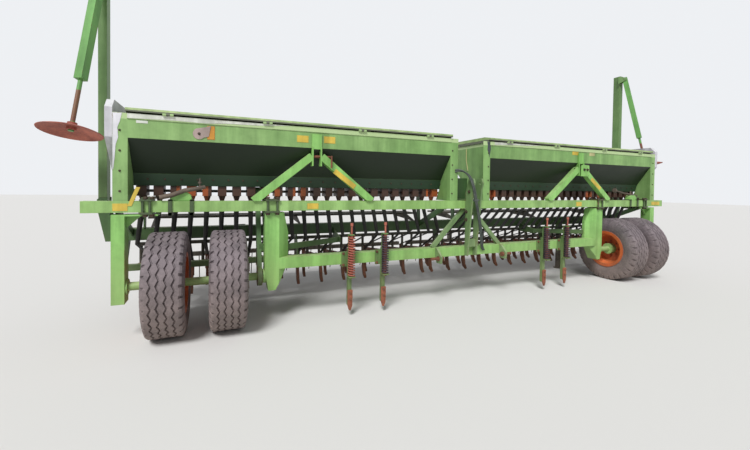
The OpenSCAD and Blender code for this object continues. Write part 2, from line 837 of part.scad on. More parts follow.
// A swept tube: one ring of corners about each point of the route, flat rings across the drop
tube_sides = 10;
function ring(c, r) = [for (k = [0 : tube_sides - 1])
    c + [r * cos(360 * k / tube_sides), r * sin(360 * k / tube_sides), 0]];

module swept(route, radii) {
    last = len(route) - 1;
    n = tube_sides;
    polyhedron(points = [for (i = [0 : last]) each ring(route[i], radii[i])],
        faces = concat([[for (k = [0 : n - 1]) n - 1 - k]], [[for (k = [0 : n - 1]) last * n + k]],
            [for (i = [0 : last - 1], k = [0 : n - 1])
                [i * n + k, i * n + (k + 1) % n, (i + 1) * n + (k + 1) % n, (i + 1) * n + k]]));
}

module seed_tubes() {
    color(black) placed() both_sides() for (i = [0 : units - 1]) {
        top = [unit_x(i), unit_y, hopper_floor_z - unit_h - 40 - seat_gap];
        mid = [row_x(i), tube_mid_y, tube_mid_z];
        low = [row_x(i), boot_y(i), boot_top_z];
        swept([top, (top + mid) / 2, mid, low],
            [tube_top_r, (tube_top_r + tube_end_r) / 2, tube_end_r, tube_end_r]);
    }
}

// Chain case from the left axle up to the feed shaft, and the gearbox between the hoppers
case_t = 36;
case_top_r = hopper_floor_z - shaft_z - 3;
case_mid = (unit_x(15) + unit_x(16)) / 2;

module drive_case() {
    color(dark_paint) placed() {
        mirror([1, 0, 0]) difference() {
            union() {
                yz_plate(case_mid - case_t / 2, case_t) {
                    flat_bar([axle_y, axle_z], [unit_y, shaft_z], 2 * case_top_r);
                    translate([axle_y, axle_z]) circle(d = 150);
                    translate([unit_y, shaft_z]) circle(r = case_top_r);
                }
                translate([inner_x1, leg_depth - strut_w / 2, brace_z])
                    cube([case_mid - inner_x1, strut_w / 2, strut_w]);
            }
            along_x(case_mid - case_t, axle_y, axle_z) cylinder(h = 2 * case_t, r = axle_d / 2 + 5);
            along_x(case_mid - case_t, unit_y, shaft_z)
                cylinder(h = 2 * case_t, r = feed_shaft_r + run_gap);
        }
        translate([-gearbox_w / 2, unit_y - 90, beam_top_z]) cube([gearbox_w, 180, 230]);
        translate([-gearbox_w / 2, 0, beam_top_z]) cube([gearbox_w, unit_y, plate_t]);
    }
}

// Rail under the rear beam that the coulter arms hang from
hanger_x = [-3030, -13 * row_pitch, 0, 13 * row_pitch, 3030];

module coulter_rail() {
    color(dark_paint) placed() {
        translate([-3030 - plate_t / 2, rail_y, rail_z]) cube([6060 + plate_t, rail_s, rail_s]);
        for (x = hanger_x) yz_plate(x - plate_t / 2, plate_t)
            polygon([[rail_y, rail_z + eps], [rail_y + rail_s, rail_z + eps], [rear_beam_y + rear_beam_s, rear_beam_z],
                [rear_beam_y, rear_beam_z]]);
    }
}

press_y = rear_beam_back + 110;
press_s = 30;
press_z = 560;
lug_x = 30;
function lug_z(reach) = rail_z + rail_s / 2 - 60 * (press_y - rail_y - rail_s) / reach - 4;

// Coulters: a flat arm, a curved shoe and a boot for the seed tube
module coulter(x, reach) {
    y0 = rail_y + rail_s;
    y1 = y0 + reach;
    arm_z = rail_z + rail_s / 2;
    translate([x, 0, 0]) {
        yz_plate(-arm_t / 2, arm_t) {
            flat_bar([y0 + 10, arm_z], [y1, arm_z - 60], arm_h);
        }
        translate([-arm_t, y0 + seat_gap, rail_z]) cube([2 * arm_t, 24, rail_s]);
        translate([0, press_y - 15, lug_z(reach)]) cube([lug_x + coulter_coil_r, 30, 8]);
        translate([0, y1, 250]) cylinder(h = boot_top_z - 250 - seat_gap, r = tube_end_r + 5);
        yz_plate(-shoe_w / 2, shoe_w)
            polygon([[y1 - 24, 340], [y1 + 20, 340], [y1 + 24, 200], [y1 - 10, tip_z + 30],
                [y1 - 60, tip_z], [y1 - 70, tip_z + 12], [y1 - 40, tip_z + 60], [y1 - 26, 240]]);
    }
}

module coulters() {
    color(rust) placed() both_sides() for (i = [0 : units - 1])
        coulter(row_x(i), i % 2 == 0 ? short_arm : long_arm);
}

// Springs that press the coulters down, from a bar on plates behind the rear beam
module coulter_springs() {
    color(steel) placed() both_sides() {
        translate([0, press_y - press_s / 2, press_z]) cube([rear_beam_len / 2 - 200, press_s, press_s]);
        for (x = [2, 12, 23] * row_pitch) yz_plate(x - plate_t / 2, plate_t)
            polygon([[rear_beam_back, rear_beam_z], [rear_beam_back, rear_beam_top - 30],
                [press_y + press_s / 2, press_z + press_s - eps], [press_y - press_s / 2, press_z + press_s - eps]]);
        for (i = [0 : units - 1]) {
            reach = i % 2 == 0 ? short_arm : long_arm;
            low = lug_z(reach) + 8 + seat_gap;
            translate([row_x(i) + lug_x, press_y, low]) cylinder(h = press_z - low + eps, r = coulter_coil_r);
        }
    }
}

// Following harrow: a bar on arms, with spring tines
module harrow() {
    color(steel) placed() both_sides() {
        translate([60, harrow_y - harrow_s / 2, harrow_z]) cube([2900, harrow_s, harrow_s]);
        for (x = [750, 2250])
            yz_plate(x, plate_t) {
                polygon([[rear_beam_back, rear_beam_z + 15], [harrow_y, rear_beam_z - 25],
                    [harrow_y, rear_beam_z + 25], [rear_beam_back, rear_beam_z + 65]]);
                flat_bar([harrow_y, rear_beam_z + 25], [harrow_y, harrow_z + harrow_s - eps], 50);
            }
        for (k = [0 : tines - 1])
            translate([150 + k * tine_pitch, tine_y, harrow_z])
                rotate([180 + tine_lean, 0, 0]) cylinder(h = tine_drop / cos(tine_lean), r = tine_r);
    }
}

// Loading board of long slats behind the hoppers
module loading_board() {
    y0 = hopper_depth + 70;
    color(steel) placed() both_sides() {
        gap = (board_depth - slat_w) / (board_slats - 1);
        for (k = [0 : board_slats - 1])
            translate([hopper_in_x - 60, y0 + k * gap, board_z]) cube([hopper_len + 60, slat_w, 20]);
        for (x = [hopper_in_x + 40, hopper_mid, hopper_out_x - 60]) {
            translate([x, y0, board_z - 40]) cube([plate_t, board_depth, 40 + eps]);
            yz_plate(x, plate_t) polygon([[rear_beam_y + 20, rear_beam_top], [rear_beam_back, rear_beam_top],
                [y0 + board_depth, board_z - 39], [y0 + board_depth, board_z], [y0, board_z]]);
        }
    }
}

// Wheel mark tines: a carrier on the lower beam, a sprung shank and a point
mark_xs = [mark_in_x, mark_out_x];

module mark_carriers() {
    color(paint) placed() both_sides() for (x = mark_xs) {
        translate([x - 60, -plate_t - seat_gap, lower_beam_z - 20])
            cube([70, plate_t, lower_beam_s + 40]);
        translate([x - 60, shank_y - shank_d / 2, spring_z - 60]) cube([shank_w, shank_d, 480]);
        translate([x - 60, shank_y, lower_beam_z]) cube([shank_w, -shank_y - plate_t, 60]);
        for (z = [spring_z - 10 - seat_gap, spring_z + spring_len + seat_gap])
            translate([x - 60, shank_y - shank_d / 2, z]) cube([60 + shank_w, shank_d, 10]);
    }
}

spring_len = spring_turns * 3 * wire_r;
function coil_outline(turns, pitch, r, wire) = concat([[r - 1.6 * wire, 0]],
    [for (k = [0 : turns - 1], a = [-60 : 40 : 60]) [r - wire + wire * cos(a), pitch * (k + 0.5) + wire * sin(a)]],
    [[r - 1.6 * wire, turns * pitch]]);

module mark_springs() {
    color(rust) placed() both_sides() for (x = mark_xs) translate([x, shank_y, spring_z])
        rotate_extrude() polygon(coil_outline(spring_turns, spring_len / spring_turns, spring_r, wire_r));
}

module mark_points() {
    color(rust) placed() both_sides() for (x = mark_xs) {
        translate([x - 60 + shank_w + seat_gap, shank_y - shank_d / 2, point_z])
            cube([16, shank_d, spring_z - 40 - point_z]);
    }
}

// Wheels: both rims of a side turn with one axle
module axle_one(s) {
    color(paint) placed() on_side(s) {
        along_x(axle_end_x, axle_y, axle_z)
            cylinder(h = outer_leg_x + outer_leg_w / 2 - axle_end_x, d = axle_d);
        for (x = [wheel_in_x, wheel_out_x])
            along_x(x - hub_len / 2, axle_y, axle_z) cylinder(h = hub_len, d = hub_d);
    }
}

module axle_left() { axle_one(-1); }
module axle_right() { axle_one(1); }

bead_r = bead_d / 2;
flange_r = bead_r + flange_h;

module rim() {
    rotate_extrude($fn = 96) polygon([
        [hub_d / 2 + seat_gap, -rim_t / 2], [bead_r - 40, -rim_t / 2], [bead_r - 30, -30],
        [bead_r - 30, -rim_w / 4], [bead_r - rim_t, -rim_w / 3],
        [bead_r - rim_t, -rim_w / 2 - rim_t], [flange_r, -rim_w / 2 - rim_t], [flange_r, -rim_w / 2],
        [bead_r, -rim_w / 2], [bead_r, -rim_w / 3 + 4], [bead_r - 24, -rim_w / 4 + 4],
        [bead_r - 24, rim_w / 4 - 4], [bead_r, rim_w / 3 - 4],
        [bead_r, rim_w / 2], [flange_r, rim_w / 2], [flange_r, rim_w / 2 + rim_t],
        [bead_r - rim_t, rim_w / 2 + rim_t], [bead_r - rim_t, rim_w / 3],
        [bead_r - 30, rim_w / 4], [bead_r - 30, 30], [bead_r - 40, rim_t / 2],
        [hub_d / 2 + seat_gap, rim_t / 2]]);
}

module rims(s) {
    color(orange) placed() on_side(s) for (x = [wheel_in_x, wheel_out_x])
        along_x(x, axle_y, axle_z) rim();
}

module rims_left() { rims(-1); }
module rims_right() { rims(1); }

// Tyre outline from bead to bead, with rounded shoulders
function arc(c, r, a, b, n) = [for (i = [0 : n]) c + r * [cos(a + (b - a) * i / n), sin(a + (b - a) * i / n)]];
shoulder_r = 34;
tyre_r = tyre_d / 2;
wall_r = (bead_r + tyre_r) / 2;
half_tyre = concat([[bead_r + seat_gap, 0], [bead_r + seat_gap, rim_w / 2 - seat_gap],
    [flange_r + 6, rim_w / 2 - seat_gap], [wall_r, tyre_w / 2]],
    arc([tyre_r - shoulder_r, tyre_w / 2 - shoulder_r - 4], shoulder_r, 80, 10, 4),
    [[tyre_r, 0]]);
tread_lines = [-0.25, 0, 0.25];

module tyre() {
    difference() {
        union() {
            rotate_extrude($fn = 120) polygon(half_tyre);
            mirror([0, 0, 1]) rotate_extrude($fn = 120) polygon(half_tyre);
        }
        for (k = tread_lines) translate([0, 0, k * tyre_w - groove_w / 2]) difference() {
            cylinder(h = groove_w, r = tyre_r + eps, $fn = 120);
            translate([0, 0, -eps]) cylinder(h = groove_w + 2 * eps, r = tyre_r - groove_h, $fn = 120);
        }
    }
}

module tyres(s) {
    color(black) placed() on_side(s) for (x = [wheel_in_x, wheel_out_x])
        along_x(x, axle_y, axle_z) tyre();
}

module tyres_left() { tyres(-1); }
module tyres_right() { tyres(1); }

// Row marker: a post hinged on the rear beam's end, an arm at its top and a disc
post_y = rear_beam_y + rear_beam_s / 2;
post_gap = 1;
post_d = rear_beam_s - 2 * post_gap;

module marker_base() {
    for (y = [rear_beam_y - plate_t, rear_beam_back]) xz_plate(y, plate_t)
        polygon([[post_x - 2 * post_w, rear_beam_z], [rear_beam_len / 2, rear_beam_z],
            [post_x + post_w * 0.6, post_hinge_z - 50], [post_x + post_w * 0.6, post_hinge_z + 20],
            [post_x + post_w * 0.3, post_hinge_z + 40], [post_x - post_w * 0.6, post_hinge_z + 40],
            [post_x - post_w * 0.6, post_hinge_z - 60]]);
    translate([post_x, rear_beam_back + 1.5 * plate_t, post_hinge_z]) rotate([90, 0, 0])
        cylinder(h = rear_beam_s + 3 * plate_t, r = marker_pin_r);
}

module marker_bases() { color(dark_paint) placed() both_sides() marker_base(); }

// The arm's hinge stands in front of the post; its frame is turned so that the arm leans outward
arm_yaw = atan(arm_lean_out / arm_lean_front);
arm_tilt = atan(norm([arm_lean_out, arm_lean_front]));
arm_pivot = [post_x, post_y - post_d / 2 - 52, post_top_z - 60];
arm_head = 26;

module arm_hinge_frame() { translate(arm_pivot) rotate([0, 0, arm_yaw]) children(); }
module arm_frame() { arm_hinge_frame() rotate([-arm_tilt, 0, 0]) children(); }

module marker_post(s) {
    color(paint) placed() on_side(s) difference() {
        union() {
            translate([post_x - post_w / 2, post_y - post_d / 2, post_hinge_z - post_w / 2])
                cube([post_w, post_d, post_top_z - post_hinge_z + post_w / 2]);
            arm_hinge_frame() {
                for (x = [-arm_s / 2 - post_gap - plate_t, arm_s / 2 + post_gap]) yz_plate(x, plate_t)
                    polygon([[80, -60], [80, 50], [0, arm_head], [-arm_head, 12], [-arm_head, -12], [0, -arm_head]]);
                along_x(-arm_s / 2 - 1.5 * plate_t, 0, 0) cylinder(h = arm_s + 3 * plate_t, r = marker_pin_r);
            }
        }
        translate([post_x, post_y + post_d, post_hinge_z]) rotate([90, 0, 0])
            cylinder(h = 2 * post_d, r = marker_pin_r + run_gap);
    }
}

module marker_post_left() { marker_post(-1); }
module marker_post_right() { marker_post(1); }

disc_hub_len = 56;
spindle_r = 10;
collar_t = 8;

module marker_arm(s) {
    color(paint) placed() on_side(s) arm_frame() difference() {
        union() {
            translate([-arm_s / 2, -arm_s / 2, -arm_len]) cube([arm_s, arm_s, arm_len + arm_head]);
            translate([0, 0, -arm_len - stem_len]) cylinder(h = stem_len + eps, r = stem_r);
            translate([0, 0, -arm_len - stem_len - disc_hub_len - 2 * run_gap - collar_t])
                cylinder(h = disc_hub_len + 2 * run_gap + collar_t + eps, r = spindle_r);
            translate([0, 0, -arm_len - stem_len - disc_hub_len - 2 * run_gap - collar_t])
                cylinder(h = collar_t, r = spindle_r + 8);
        }
        along_x(-arm_s, 0, 0) cylinder(h = 2 * arm_s, r = marker_pin_r + run_gap);
    }
}

module marker_arm_left() { marker_arm(-1); }
module marker_arm_right() { marker_arm(1); }

// The disc is dished, hollow side away from the arm, on a hub that turns on the arm's spindle
disc_t = 5;
disc_r = disc_d / 2;
disc_hub_r = 30;
dish_r = (disc_r * disc_r + disc_dish * disc_dish) / (2 * disc_dish);
dish_a = asin(disc_r / dish_r);
dish_in = asin(disc_hub_r * 0.8 / dish_r);

module marker_disc(s) {
    color(rust) placed() on_side(s) arm_frame()
        translate([0, 0, -arm_len - stem_len - run_gap - disc_hub_len]) difference() {
            union() {
                cylinder(h = disc_hub_len, r = disc_hub_r);
                translate([0, 0, disc_hub_len / 2 - dish_r]) rotate_extrude($fn = 96)
                    polygon(concat(arc([0, 0], dish_r, 90 - dish_in, 90 - dish_a, 8),
                        arc([0, 0], dish_r - disc_t, 90 - dish_a, 90 - dish_in, 8)));
            }
            translate([0, 0, -eps]) cylinder(h = disc_hub_len + 2 * eps, r = spindle_r + run_gap);
        }
}

module marker_disc_left() { marker_disc(-1); }
module marker_disc_right() { marker_disc(1); }

// Hydraulic hoses down the mast's left plate, held by clips
hose_r = 8;

module hoses() {
    color(black) placed() on_side(-1) {
        for (y = [-60, -36]) translate([mast_gap / 2 + mast_t + hose_r + 2, y, lower_beam_top + 60])
            cylinder(h = front_beam_z + 200 - lower_beam_top, r = hose_r);
        for (z = [lower_beam_top + 100, beam_top_z])
            translate([mast_gap / 2 + mast_t + seat_gap, -75, z]) cube([2 * hose_r + 6, 55, 20]);
    }
}

module end_fittings() {
    color(rust) placed() translate([-2640, -20, beam_top_z + seat_gap]) cube([160, 60, 30]);
}

front_beam();
rear_beam();
lower_beam();
frame_struts();
inner_legs();
outer_legs();
beam_clamps();
headstock();
hitch_pins();
hopper_left();
hopper_right();
end_covers();
lid_left();
lid_right();
front_braces();
brace_pins();
metering_units();
feed_shafts();
seed_tubes();
drive_case();
coulter_rail();
coulters();
coulter_springs();
harrow();
loading_board();
mark_carriers();
mark_springs();
mark_points();
axle_left();
axle_right();
rims_left();
rims_right();
tyres_left();
tyres_right();
marker_bases();
marker_post_left();
marker_post_right();
marker_arm_left();
marker_arm_right();
marker_disc_left();
marker_disc_right();
stand_left();
stand_right();
hoses();
end_fittings();
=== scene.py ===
import math
import bmesh
import bpy
from mathutils import Matrix, Vector


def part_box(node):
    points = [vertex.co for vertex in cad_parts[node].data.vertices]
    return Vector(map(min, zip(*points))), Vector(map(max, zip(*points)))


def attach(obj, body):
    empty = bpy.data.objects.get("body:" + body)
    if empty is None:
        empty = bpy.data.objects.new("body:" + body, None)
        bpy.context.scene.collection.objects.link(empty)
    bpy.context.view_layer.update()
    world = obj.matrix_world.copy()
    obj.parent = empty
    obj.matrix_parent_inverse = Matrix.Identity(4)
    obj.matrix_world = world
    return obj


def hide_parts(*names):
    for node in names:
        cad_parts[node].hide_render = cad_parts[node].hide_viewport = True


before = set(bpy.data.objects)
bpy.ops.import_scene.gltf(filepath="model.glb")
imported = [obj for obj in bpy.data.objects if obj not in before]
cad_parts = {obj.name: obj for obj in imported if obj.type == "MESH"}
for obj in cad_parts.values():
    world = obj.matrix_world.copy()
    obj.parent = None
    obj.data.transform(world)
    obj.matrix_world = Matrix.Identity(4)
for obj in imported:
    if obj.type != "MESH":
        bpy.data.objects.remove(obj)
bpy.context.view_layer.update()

# The view: a wide lens a little over a metre above the ground, left of the drill's middle, which sees
# the whole front at a slant. The floor is pale and plain, and the light is a wide sun under an even sky.
front_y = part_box("front_beam")[0][1]
eye_x, eye_to_beam, eye_height = -2.326, 2.994, 1.109
yaw, pitch, roll = (math.radians(angle) for angle in (23.17, -1.18, 0.80))
sun_way = (1.0, 1.35, -1.9)
sky_light, sky_seen = 0.36, 0.9
floor_reach = 40

scene = bpy.context.scene
scene.view_settings.view_transform = "Standard"
eye = bpy.data.cameras.new("view")
eye.lens = 17.454
eye.sensor_width = 36
eye.shift_y = -0.040
eye.clip_end = 60
camera = bpy.data.objects.new("view", eye)
scene.collection.objects.link(camera)
level_turn = Matrix.Rotation(-yaw, 4, "Z") @ Matrix.Rotation(math.pi / 2 + pitch, 4, "X")
turn = level_turn @ Matrix.Rotation(roll, 4, "Z")
camera.matrix_world = Matrix.Translation((eye_x, front_y - eye_to_beam, eye_height)) @ turn
scene.camera = camera


def put(tree, kind, sockets=None, **settings):
    """Adds a node; a socket's value is another node's output, or a constant."""
    new = tree.nodes.new(kind)
    for name, value in settings.items():
        setattr(new, name, value)
    for name, value in (sockets or {}).items():
        if isinstance(value, bpy.types.NodeSocket):
            tree.links.new(value, new.inputs[name])
        else:
            new.inputs[name].default_value = value
    return new


sun = bpy.data.lights.new("key", "SUN")
sun.energy = 3.0
sun.angle = 0.35
key = bpy.data.objects.new("key", sun)
key.rotation_euler = Vector(sun_way).to_track_quat("-Z", "Y").to_euler()
scene.collection.objects.link(key)
world = bpy.data.worlds.new("sky")
scene.world = world
world.use_nodes = True
sky = world.node_tree
backdrop = sky.nodes["Background"].inputs
backdrop["Color"].default_value = (0.95, 0.97, 1.0, 1)
rays = put(sky, "ShaderNodeLightPath").outputs
seen = rays["Is Camera Ray"]
for ray in ("Is Glossy Ray", "Is Transmission Ray"):
    seen = put(sky, "ShaderNodeMath", {0: seen, 1: rays[ray]}, operation="MAXIMUM").outputs[0]
levels = {"Value": seen, "To Min": sky_light, "To Max": sky_seen}
strength = put(sky, "ShaderNodeMapRange", levels).outputs["Result"]
sky.links.new(strength, backdrop["Strength"])

floor_corners = [(x * floor_reach, y * floor_reach, 0) for x, y in ((-1, -1), (1, -1), (1, 1), (-1, 1))]
floor_mesh = bpy.data.meshes.new("floor")
floor_mesh.from_pydata(floor_corners, [], [(0, 1, 2, 3)])
floor = bpy.data.objects.new("floor", floor_mesh)
scene.collection.objects.link(floor)
pale = bpy.data.materials.new("pale_floor")
pale.use_nodes = True
pale.node_tree.nodes["Principled BSDF"].inputs["Base Color"].default_value = (0.72, 0.71, 0.69, 1)
pale.node_tree.nodes["Principled BSDF"].inputs["Roughness"].default_value = 0.9
floor_mesh.materials.append(pale)


# Frame: welded square tube and plate under one farm green, bleached by the sun on top, streaked on upright
# faces, chipped to rust at the edges and dusty near the ground.
def srgb(r, g, b):
    """A colour read as 0 to 255 on a screen, as the renderer's linear colour."""
    lin = [c / 255 / 12.92 if c <= 10 else ((c / 255 + 0.055) / 1.055) ** 2.4 for c in (r, g, b)]
    return (*lin, 1.0)


def new_group(name, inputs, outputs):
    """A shader node group with named sockets; each input is (name, kind, value)."""
    tree = bpy.data.node_groups.new(name, "ShaderNodeTree")
    for label, kind, value in inputs:
        socket = tree.interface.new_socket(label, in_out="INPUT", socket_type="NodeSocket" + kind)
        socket.default_value = value
    for label, kind in outputs:
        tree.interface.new_socket(label, in_out="OUTPUT", socket_type="NodeSocket" + kind)
    return tree, tree.nodes.new("NodeGroupInput").outputs, tree.nodes.new("NodeGroupOutput").inputs


def feed(tree, new, values):
    """Links or sets a node's inputs by number."""
    for i, value in values:
        if isinstance(value, bpy.types.NodeSocket):
            tree.links.new(value, new.inputs[i])
        else:
            new.inputs[i].default_value = value


def calc(tree, operation, *values, clamp=False):
    """A Math node's output."""
    new = tree.nodes.new("ShaderNodeMath")
    new.operation = operation
    new.use_clamp = clamp
    feed(tree, new, enumerate(values))
    return new.outputs[0]


def plus(tree, value, pattern, share, clamp=False):
    """A value with a share of a pattern added."""
    return calc(tree, "ADD", value, calc(tree, "MULTIPLY", pattern, share), clamp=clamp)


def swing(tree, value, pattern, reach):
    """A value that a pattern moves up and down about its middle."""
    return plus(tree, value, calc(tree, "SUBTRACT", pattern, 0.5), reach)


def span(tree, value, low, high):
    """0 at low, 1 at high, held outside."""
    limits = {"Value": value, "From Min": low, "From Max": high}
    return put(tree, "ShaderNodeMapRange", limits).outputs["Result"]


def blend(tree, share, first, second):
    """A colour between first and second."""
    new = tree.nodes.new("ShaderNodeMix")
    new.data_type = "RGBA"
    feed(tree, new, ((0, share), (6, first), (7, second)))
    return new.outputs[2]


def noise(tree, place, scale, detail=4.0, rough=0.55, stretch=(1, 1, 1)):
    """A noise over the object's own coordinates."""
    if stretch != (1, 1, 1):
        place = put(tree, "ShaderNodeMapping", {"Vector": place, "Scale": stretch}).outputs["Vector"]
    grain = {"Vector": place, "Scale": scale, "Detail": detail, "Roughness": rough}
    return put(tree, "ShaderNodeTexNoise", grain).outputs["Fac"]


def own_place(tree):
    """The coordinates of a point on the object."""
    return put(tree, "ShaderNodeTexCoord").outputs["Object"]


def part_of(tree, vector, axis):
    """One coordinate of a vector."""
    return put(tree, "ShaderNodeSeparateXYZ", {0: vector}).outputs[axis]


def rounded_edges(tree, radius):
    """The normal of a face whose edges look rounded to a radius in metres."""
    return put(tree, "ShaderNodeBevel", {"Radius": radius}, samples=4).outputs["Normal"]


grime_olive, dust_tan, rust_halo = srgb(58, 70, 38), srgb(150, 128, 98), srgb(140, 96, 60)
pit_dark, pit_light = srgb(62, 34, 24), srgb(134, 74, 44)
dust_none, dust_full = 0.75, 0.05
halo_from, halo_full, bare_from, bare_full = 0.69, 0.76, 0.735, 0.75

worn, given, result = new_group(
    "worn_paint",
    [("Fresh", "Color", (0, 0.3, 0, 1)), ("Faded", "Color", (0.3, 0.6, 0.2, 1)), ("Fading", "Float", 0.4),
     ("Rust", "Float", 0.3), ("Dust", "Float", 0.4)],
    [("Colour", "Color"), ("Roughness", "Float"), ("Height", "Float"), ("Rounded", "Vector")])
place = own_place(worn)
true_normal = put(worn, "ShaderNodeNewGeometry").outputs["Normal"]
round_normal = rounded_edges(worn, 0.0035)
wide_normal = rounded_edges(worn, 0.009)
cosine = put(worn, "ShaderNodeVectorMath", {0: wide_normal, 1: true_normal}, operation="DOT_PRODUCT")
edge = span(worn, calc(worn, "SUBTRACT", 1.0, cosine.outputs["Value"]), 0.02, 0.22)
upward = part_of(worn, true_normal, "Z")
height = part_of(worn, place, "Z")
broad = noise(worn, place, 0.8, 5)
mottle = noise(worn, place, 9, 8, 0.65)
streak = noise(worn, place, 1.0, 5, 0.6, (9, 9, 0.8))
speck = noise(worn, place, 34, 6, 0.7)
fade = swing(worn, given["Fading"], broad, 1.3)
fade = swing(worn, fade, streak, 0.55)
fade = swing(worn, fade, mottle, 0.35)
fade = plus(worn, fade, span(worn, upward, 0.2, 0.9), 0.5, clamp=True)
colour = blend(worn, fade, given["Fresh"], given["Faded"])
grime = span(worn, plus(worn, streak, mottle, 0.5), 0.92, 0.6)
colour = blend(worn, calc(worn, "MULTIPLY", grime, 0.38), colour, grime_olive)
splashed = calc(worn, "MULTIPLY", span(worn, height, dust_none, dust_full), mottle)
settled = plus(worn, splashed, span(worn, upward, 0.5, 1.0), 0.25)
colour = blend(worn, calc(worn, "MULTIPLY", given["Dust"], settled, clamp=True), colour, dust_tan)
chips = plus(worn, noise(worn, place, 4.5, 12, 0.72), edge, 0.13)
chips = plus(worn, chips, given["Rust"], 0.12)
halo = span(worn, chips, halo_from, halo_full)
bare = span(worn, chips, bare_from, bare_full)
colour = blend(worn, calc(worn, "MULTIPLY", halo, 0.45), colour, rust_halo)
colour = blend(worn, bare, colour, blend(worn, speck, pit_dark, pit_light))
worn.links.new(colour, result["Colour"])
worn.links.new(plus(worn, plus(worn, 0.40, bare, 0.3), fade, 0.22), result["Roughness"])
sunk = calc(worn, "MULTIPLY", bare, calc(worn, "SUBTRACT", speck, 1.1))
worn.links.new(plus(worn, sunk, mottle, 0.25), result["Height"])
worn.links.new(round_normal, result["Rounded"])


def dressed(name, group, values, metal=0.0):
    """A material with a wear group in it; gives the material and the placed group."""
    mat = bpy.data.materials.new(name)
    mat.use_nodes = True
    tree = mat.node_tree
    skin = tree.nodes["Principled BSDF"]
    skin.inputs["Metallic"].default_value = metal
    wear = put(tree, "ShaderNodeGroup", values, node_tree=group)
    tree.links.new(wear.outputs["Colour"], skin.inputs["Base Color"])
    tree.links.new(wear.outputs["Roughness"], skin.inputs["Roughness"])
    return mat, wear


def relief(mat, wear, normal, strength, depth):
    """Gives a material the bumps of its wear group over a normal."""
    tree = mat.node_tree
    bump = put(tree, "ShaderNodeBump",
               {"Height": wear.outputs["Height"], "Normal": normal, "Strength": strength, "Distance": depth})
    tree.links.new(bump.outputs["Normal"], tree.nodes["Principled BSDF"].inputs["Normal"])


def painted(name, fresh, faded, fading=0.4, rust=0.3, dust=0.4):
    """Sun-bleached, chipped paint on steel."""
    values = {"Fresh": fresh, "Faded": faded, "Fading": fading, "Rust": rust, "Dust": dust}
    mat, wear = dressed(name, worn, values)
    relief(mat, wear, wear.outputs["Rounded"], 0.35, 0.002)
    return mat


def finish_node(name, mat):
    """Gives a CAD node's object its finished material."""
    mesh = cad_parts[name].data
    mesh.materials.clear()
    mesh.materials.append(mat)


beam_green = painted("beam_green", srgb(124, 176, 80), srgb(172, 206, 136), 0.5, 0.28)
leg_green = painted("leg_green", srgb(124, 192, 86), srgb(168, 216, 134), 0.42, 0.2, 0.8)
# shade_green is the frame green painted darker to stand for shade, on the rear beam and the other parts
# given it below.
shade_green = painted("shade_green", srgb(44, 80, 38), srgb(92, 126, 76), 0.3, 0.35, 0.5)
finish_node("front_beam", beam_green)
finish_node("headstock", painted("mast_green", srgb(86, 126, 68), srgb(146, 170, 122), 0.5, 0.6, 0.3))
for name in ("inner_legs", "outer_legs", "front_braces", "lower_beam"):
    finish_node(name, leg_green)
for name in ("rear_beam", "frame_struts", "drive_case", "coulter_rail", "marker_bases"):
    finish_node(name, shade_green)

# Clamps and bolts: the legs hang from the front beam by square plates and long bolts with hexagon nuts, and
# like bolts hold the mast's brackets. They are bare or thinly painted, dark and rusty.
rusty, given, result = new_group(
    "rusty_skin",
    [("Dark", "Color", srgb(52, 30, 24)), ("Light", "Color", srgb(140, 82, 56)), ("Dust", "Float", 0.3)],
    [("Colour", "Color"), ("Roughness", "Float"), ("Height", "Float")])
place = own_place(rusty)
large = noise(rusty, place, 7, 8, 0.65)
small = noise(rusty, place, 60, 8, 0.7)
mix = span(rusty, plus(rusty, calc(rusty, "MULTIPLY", large, 0.7), small, 0.5), 0.42, 0.75)
colour = blend(rusty, mix, given["Dark"], given["Light"])
splashed = calc(rusty, "MULTIPLY", span(rusty, part_of(rusty, place, "Z"), 0.6, 0.0), large)
dusty = calc(rusty, "MULTIPLY", given["Dust"], splashed, clamp=True)
rusty.links.new(blend(rusty, dusty, colour, srgb(158, 134, 102)), result["Colour"])
rusty.links.new(plus(rusty, 0.55, small, 0.35), result["Roughness"])
rusty.links.new(plus(rusty, large, small, 0.6), result["Height"])


def rusted(name, dark, light, dust=0.3, metal=0.0):
    """Rusty or weathered bare steel."""
    mat, wear = dressed(name, rusty, {"Dark": dark, "Light": light, "Dust": dust}, metal)
    relief(mat, wear, rounded_edges(mat.node_tree, 0.002), 0.45, 0.0015)
    return mat


iron_dark = rusted("iron_dark", srgb(40, 34, 30), srgb(92, 76, 60), 0.3, 0.2)
clamp_green = painted("clamp_green", srgb(50, 66, 42), srgb(92, 112, 76), 0.35, 0.7, 0.3)
finish_node("beam_clamps", clamp_green)


def at(x, y, z):
    """A place in mm beside the middle of the front beam's face, as metres in the model's frame."""
    return Vector((x / 1000, y / 1000 + front_y, z / 1000))


def settle(name, mesh, body, stands_for=(), round_by=0.0):
    """Links a finished mesh as a piece that rides on a body and may stand for CAD nodes."""
    new = bpy.data.objects.new(name, mesh)
    scene.collection.objects.link(new)
    if round_by:
        edge_round = new.modifiers.new("rounded", "BEVEL")
        edge_round.width = round_by
        edge_round.segments = 2
        edge_round.limit_method = "ANGLE"
    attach(new, body)
    if stands_for:
        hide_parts(*stands_for)


def node_tree(name, inputs):
    """A Geometry Nodes tree with named inputs; gives the tree, its input sockets and their identifiers."""
    tree = bpy.data.node_groups.new(name, "GeometryNodeTree")
    tree.interface.new_socket("Geometry", in_out="INPUT", socket_type="NodeSocketGeometry")
    keys = {}
    for label, kind in inputs:
        socket = tree.interface.new_socket(label, in_out="INPUT", socket_type="NodeSocket" + kind)
        keys[label] = socket.identifier
    tree.interface.new_socket("Geometry", in_out="OUTPUT", socket_type="NodeSocketGeometry")
    return tree, tree.nodes.new("NodeGroupInput").outputs, keys


